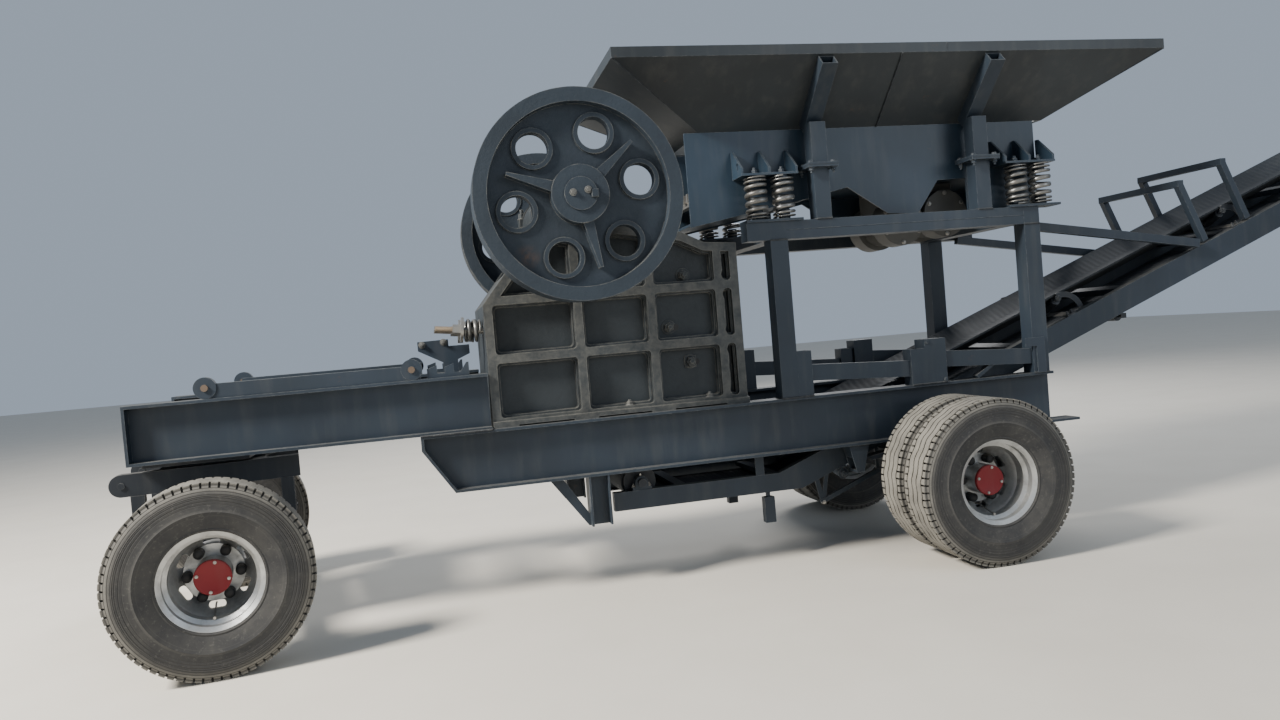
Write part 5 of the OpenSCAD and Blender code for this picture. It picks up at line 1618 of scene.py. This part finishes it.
@dataclass
class ConveyorTrim:
    """Bolts and nuts of the conveyor's bearings, idlers, return rollers and hangers, in millimetres."""

    looks: Finishes
    slope: float = math.atan(0.37787)
    bend: tuple = (2826.0, 1000.0)
    channel_y: float = 355.0
    channel_h: float = 149.7
    flange_in: float = 24.0
    carry: float = 65.0
    flat_half: float = 110.0
    wing: float = 170.0
    tilt: float = math.radians(25.0)
    roller_drop: float = 26.3
    idler_x: tuple = (1860.0, 3010.0, 4250.0, 5490.0)
    tail: tuple = (290.0, 530.0)
    head: tuple = (5880.0, 2270.65)
    tail_foot_z: float = 507.0
    bearing_half: float = 44.0
    pivot: tuple = (1464.0, 444.0)
    strap_foot: tuple = (1340.0, 293.0)
    strap_y: float = 335.0
    hoop_x: tuple = (4047.0, 4373.0)

    def channel_low(self, x: float) -> float:
        """Height of the sloping channel's lower edge."""
        return self.bend[1] + (x - self.bend[0]) * math.tan(self.slope)

    def on_idler(self, side: Side, x: float, across: float, up: float) -> Point:
        """Point of a place on an idler, across the belt and square to its slope."""
        z = self.channel_low(x) + self.channel_h + self.carry
        return side.at(x - up * math.sin(self.slope), across, z + up * math.cos(self.slope))

    def idlers(self) -> None:
        """Nuts on the tilted rollers' pins and bolts through the idlers' bases."""
        slope, tilt, reach = self.slope, self.tilt, self.wing + 10
        way, up = heading(slope), (-math.sin(slope), 0, math.cos(slope))
        across = self.flat_half + reach * math.cos(tilt) + self.roller_drop * math.sin(tilt)
        lift = reach * math.sin(tilt) - self.roller_drop * math.cos(tilt)
        base = -self.carry * math.cos(slope) + 8.3
        nuts, bolts = [], []
        for x in self.idler_x:
            for side in Side:
                pin = (up[0] * math.sin(tilt), side.value * math.cos(tilt), up[2] * math.sin(tilt))
                nuts.append(aimed(self.on_idler(side, x, across, lift), pin))
                middle = Vector(self.on_idler(side, x, self.channel_y - self.flange_in, base))
                bolts += [aimed(tuple(middle + way * dx / 1000), up) for dx in (-16, 16)]
        Fastener(0.024, 0.012, 0.008).lay("idler_nuts", nuts, self.looks.under)
        Fastener(0.017, 0.011, 0.008).lay("idler_bolts", bolts, self.looks.under)

    def bearings(self) -> None:
        """Bolts of the four drum bearings and their grease nipples."""
        (tail_x, tail_z), (head_x, head_z), steel = self.tail, self.head, self.looks.steel
        foot_y = self.channel_y - self.flange_in
        bolts, nipples = [], []
        for side in Side:
            for reach in (-self.bearing_half, self.bearing_half):
                bolts.append(side.upright(tail_x + reach, foot_y, self.tail_foot_z))
                x, z = head_x + reach * math.cos(self.slope), head_z + reach * math.sin(self.slope)
                bolts.append(side.outward(x, self.channel_y + 15, z))
            nipples.append(side.upright(tail_x, foot_y, tail_z + 35))
            nipples.append(side.upright(head_x, self.channel_y + 27, head_z + 35))
        Fastener(0.015, 0.010, 0.007).lay("drum_bearing_bolts", bolts, steel)
        nipple = Bench.round_bar("nipple", 0.0045, -0.003, 0.012, 10)
        Bench.dress(Bench.copies("drum_nipples", nipple, nipples), steel)

    def hangers(self) -> None:
        """The big bolt at the channel's bend and the bolt where the two straps meet."""
        (x, z), (strap_x, strap_z) = self.pivot, self.strap_foot
        big = [side.outward(x, self.channel_y, z, 0.2) for side in Side]
        small = [side.outward(strap_x, self.strap_y, strap_z, 0.4) for side in Side]
        Fastener(0.036, 0.020, 0.012, 1.5).lay("bend_bolts", big, self.looks.chassis)
        Fastener(0.019, 0.012, 0.010).lay("strap_bolts", small, self.looks.steel)

    def welds(self) -> None:
        """Fillet welds at the hoops' feet."""
        climb = math.tan(self.slope)
        runs = []
        for side in Side:
            for x in self.hoop_x:
                z = self.channel_low(x) + self.channel_h + 1
                for y in (self.channel_y - 4, self.channel_y - 46):
                    runs.append((side.at(x - 24, y, z - 24 * climb), side.at(x + 18, y, z + 18 * climb)))
        WeldBead(0.0045).lay("hoop_welds", runs, self.looks.weld)

    def build(self) -> None:
        """Model the conveyor's small parts."""
        self.idlers()
        self.bearings()
        self.hangers()
        self.welds()


@dataclass
class BeltLoop:
    """The conveyor's closed belt: flat round the drums and troughed where it carries, in millimetres."""

    looks: Finishes
    tail: tuple = (290.0, 530.0)
    head: tuple = (5880.0, 2270.651)
    inner_r: float = 91.693
    thick: float = 10.0
    flat_half: float = 110.0
    wing: float = 170.0
    tilt: float = math.radians(25.0)
    slope: float = math.radians(20.7)
    trough_x: float = 550.0
    carry_bend: tuple = (1256.75, 621.693)
    trough_end: tuple = (5580.0, 2255.311)
    return_bend: tuple = (1290.25, 438.307)
    steps: int = 36
    reach: float = 0.09

    def near(self, c: Vector, place: tuple, way: Vector) -> bool:
        """Whether a point lies on the belt's cross-section at a place."""
        off = c - Vector(spot(place[0], 0, place[1]))
        return abs(off.dot(way)) < 0.0008 and off.xz.length < self.reach

    def end_faces(self, belt: Piece, place: tuple, way: Vector) -> None:
        """Select the faces of the belt's growing end."""
        Bench.pick(belt, "FACE", lambda c, n: abs(n.dot(way)) > 0.98 and self.near(c, place, way))

    def grow(self, belt: Piece, start: tuple, end: tuple, way: Vector) -> None:
        """Extrude the growing end from one place to the next, in the belt's own plane."""
        self.end_faces(belt, start, way)
        Bench.push(*(Vector(spot(end[0], 0, end[1])) - Vector(spot(start[0], 0, start[1]))))

    def fold(self, belt: Piece, place: tuple, way: Vector, lift: float) -> None:
        """Fold both wings of the growing end.

        Args:
            belt: the belt.
            place: where its growing end is.
            way: the direction that it grows in.
            lift: 1 to lift the wings into a trough, -1 to lay them flat again.
        """
        rise = self.wing * math.sin(self.tilt) * lift / 1000
        inward = self.wing * (1 - math.cos(self.tilt)) * lift / 1000
        for side in Side:
            s = side.value
            Bench.pick(belt, "VERT", lambda c: c.y * s > 0.15 and self.near(c, place, way))
            bpy.ops.transform.translate(value=(-way.z * rise, -s * inward, way.x * rise))

    @staticmethod
    def turn(place: tuple, angle: float) -> None:
        """Turn the growing end about the belt's inner face."""
        middle = spot(place[0], 0, place[1])
        bpy.ops.transform.rotate(value=angle, orient_axis="Y", center_override=middle)

    def wrap(self, belt: Piece, centre: tuple, start: tuple, way: Vector) -> None:
        """Carry the growing end half a turn round a drum and take out the faces that it started from.

        Args:
            belt: the belt.
            centre: the drum's axis.
            start: where the belt meets the drum.
            way: the direction that it grows in.
        """
        axis = spot(centre[0], 0, centre[1])
        self.end_faces(belt, start, way)
        bpy.ops.mesh.spin(steps=self.steps, angle=-math.pi, center=axis, axis=(0, 1, 0))
        self.end_faces(belt, start, way)
        bpy.ops.mesh.delete(type="FACE")

    def section(self, place: tuple) -> Piece:
        """Model the belt's first cross-section, flat and without length.

        Args:
            place: the belt's inner face under the tail drum.

        Returns:
            The section, as three faces side by side.
        """
        half = (self.flat_half + self.wing) / 1000
        middle = spot(place[0], 0, place[1] - self.thick / 2)
        Bench.clear()
        bpy.ops.mesh.primitive_grid_add(
            x_subdivisions=3, y_subdivisions=1, size=1, rotation=(math.pi / 2, 0, math.pi / 2),
            location=middle,
        )
        belt = Bench.settle("belt_loop")
        Bench.pick(belt, "VERT", lambda c: True)
        bpy.ops.transform.resize(value=(1, 2 * half, self.thick / 1000), center_override=middle)
        Bench.pick(belt, "VERT", lambda c: abs(c.y) < 0.15)
        flat = self.flat_half / 1000 / (half / 3)
        bpy.ops.transform.resize(value=(1, flat, 1), center_override=(0, 0, 0))
        return belt

    def build(self) -> None:
        """Model the belt from one cross-section, carried once round the loop."""
        level, half_way, up = (heading(self.slope * share) for share in (0, 0.5, 1))
        (tail_x, tail_z), (head_x, head_z) = self.tail, self.head
        bottom, top = (tail_x, tail_z - self.inner_r), (tail_x, tail_z + self.inner_r)
        trough = (self.trough_x, top[1])
        lean, drop = self.inner_r * math.sin(self.slope), self.inner_r * math.cos(self.slope)
        crown, foot = (head_x - lean, head_z + drop), (head_x + lean, head_z - drop)
        belt = self.section(bottom)
        self.wrap(belt, self.tail, bottom, level)
        self.grow(belt, top, trough, level)
        self.fold(belt, trough, level, 1)
        self.grow(belt, trough, self.carry_bend, level)
        self.turn(self.carry_bend, self.slope / 2)
        self.grow(belt, self.carry_bend, self.trough_end, half_way)
        self.turn(self.trough_end, self.slope / 2)
        self.grow(belt, self.trough_end, crown, up)
        self.fold(belt, crown, up, -1)
        self.wrap(belt, self.head, crown, up)
        self.grow(belt, foot, self.return_bend, up)
        self.turn(self.return_bend, -self.slope / 2)
        self.grow(belt, self.return_bend, bottom, half_way)
        self.turn(bottom, -self.slope / 2)
        # The end has come back to the start, where its faces go and the loop closes
        self.end_faces(belt, bottom, level)
        bpy.ops.mesh.delete(type="FACE")
        bpy.ops.mesh.select_all(action="SELECT")
        bpy.ops.mesh.remove_doubles(threshold=0.0015)
        Bench.face_outwards()
        Bench.dress(Bench.smooth(belt, 28), self.looks.belt, "belt_rubber")
        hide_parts("belt")


# Studio


@dataclass
class Studio:
    """Camera at the photograph's place, pale floor and soft lights."""

    place: Point = (-2.5214, -5.228, 1.358)
    yaw: float = 0.221
    pitch: float = -0.033
    roll: float = 0.084
    focal_px: float = 924.0
    width_px: float = 1280.0
    sensor: float = 36.0

    def camera(self) -> None:
        """Add the camera."""
        flat = Vector((math.sin(self.yaw), math.cos(self.yaw), 0)) * math.cos(self.pitch)
        ahead = flat + Vector((0, 0, math.sin(self.pitch)))
        level = Vector((math.cos(self.yaw), -math.sin(self.yaw), 0))
        below = ahead.cross(level)
        right = math.cos(self.roll) * level + math.sin(self.roll) * below
        down = -math.sin(self.roll) * level + math.cos(self.roll) * below
        turn = Matrix((right, -down, -ahead)).transposed().to_4x4()
        lens = bpy.data.cameras.new("camera")
        lens.sensor_width = self.sensor
        lens.lens = self.focal_px * self.sensor / self.width_px
        lens.clip_end = 200
        eye = bpy.data.objects.new("camera", lens)
        eye.matrix_world = Matrix.Translation(Vector(self.place)) @ turn
        bpy.context.collection.objects.link(eye)
        bpy.context.scene.camera = eye

    @staticmethod
    def light(
        name: str, at: Point, aim: Point, size: float, power: float, tint: Colour = (1, 1, 1)
    ) -> None:
        """Add one square area light.

        Args:
            name: its name.
            at: where it hangs.
            aim: the point that it shines at.
            size: the length of its side, in metres.
            power: its power, in watts.
            tint: its colour.
        """
        lamp = bpy.data.lights.new(name, "AREA")
        lamp.shape = "SQUARE"
        lamp.size = size
        lamp.energy = power
        lamp.color = tint
        source = bpy.data.objects.new(name, lamp)
        turned = (Vector(aim) - Vector(at)).to_track_quat("-Z", "Y").to_matrix().to_4x4()
        source.matrix_world = Matrix.Translation(Vector(at)) @ turned
        bpy.context.collection.objects.link(source)

    def build(self) -> None:
        """Add the camera, the floor, the lights and the sky."""
        self.camera()
        Bench.clear()
        bpy.ops.mesh.primitive_plane_add(size=60, location=(0, 8, 0))
        floor = bpy.context.object
        floor.name = "floor"
        sheet = NodeSheet("floor_grey")
        mottle = sheet.mix(sheet.noise(2.0, 4), (0.56, 0.525, 0.46), (0.64, 0.605, 0.54))
        floor.data.materials.append(sheet.finish(mottle, 0.85))
        self.light("key", (-10.0, -3.2, 7.6), (0, 0, 1.0), 2.2, 3300, (1.0, 0.955, 0.88))
        self.light("fill", (6.0, -10.0, 5.0), (0.5, 0, 1.2), 6.0, 380, (0.88, 0.94, 1.0))
        self.light("rim", (3.0, 9.0, 8.0), (0, 0, 1.5), 5.0, 900)
        world = bpy.data.worlds.new("sky")
        world.use_nodes = True
        colour, strength = world.node_tree.nodes["Background"].inputs[:2]
        colour.default_value = (0.66, 0.78, 0.95, 1)
        strength.default_value = 0.5
        bpy.context.scene.world = world


# The plant


@dataclass
class CadDress:
    """Gives every carried-over CAD node its finish."""

    looks: Finishes

    def build(self) -> None:
        """Assign a finish to each node by its material slot, then the exceptions."""
        looks = self.looks
        by_slot = {
            "chassis_paint": looks.chassis, "dark_paint": looks.under, "cast_paint": looks.casting,
            "bare_steel": looks.steel, "silver_paint": looks.silver, "tyre_rubber": looks.tyre,
            "belt_rubber": looks.belt,
        }
        special = {
            "hopper": looks.hopper, "trough": looks.trough, "vibrating_motors": looks.motor,
            "flywheel_near": looks.wheel_casting, "flywheel_far": looks.wheel_casting,
            "eccentric_shaft": looks.wheel_casting,
        }
        slots = {part["node"]: part["material_slot"] for part in frame["record"]["subparts"]}
        for node, piece in frame["nodes"].items():
            piece.data.materials.clear()
            piece.data.materials.append(special.get(node, by_slot[slots[node]]))


def main() -> None:
    """Build every sub-assembly in order."""
    logging.basicConfig(level=logging.INFO, format="%(message)s")
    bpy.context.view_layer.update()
    looks = Finishes.build()
    CadDress(looks).build()
    trims = (
        RunningGear, CrusherTrim, FeederMount, HopperTrim, ChassisTrim, VibratorTrim, FrameTrim,
        ConveyorTrim, BeltLoop,
    )
    for part in [kind(looks) for kind in trims] + [Studio()]:
        part.build()
        LOG.info("built %s", type(part).__name__)


if __name__ == "__main__":
    main()
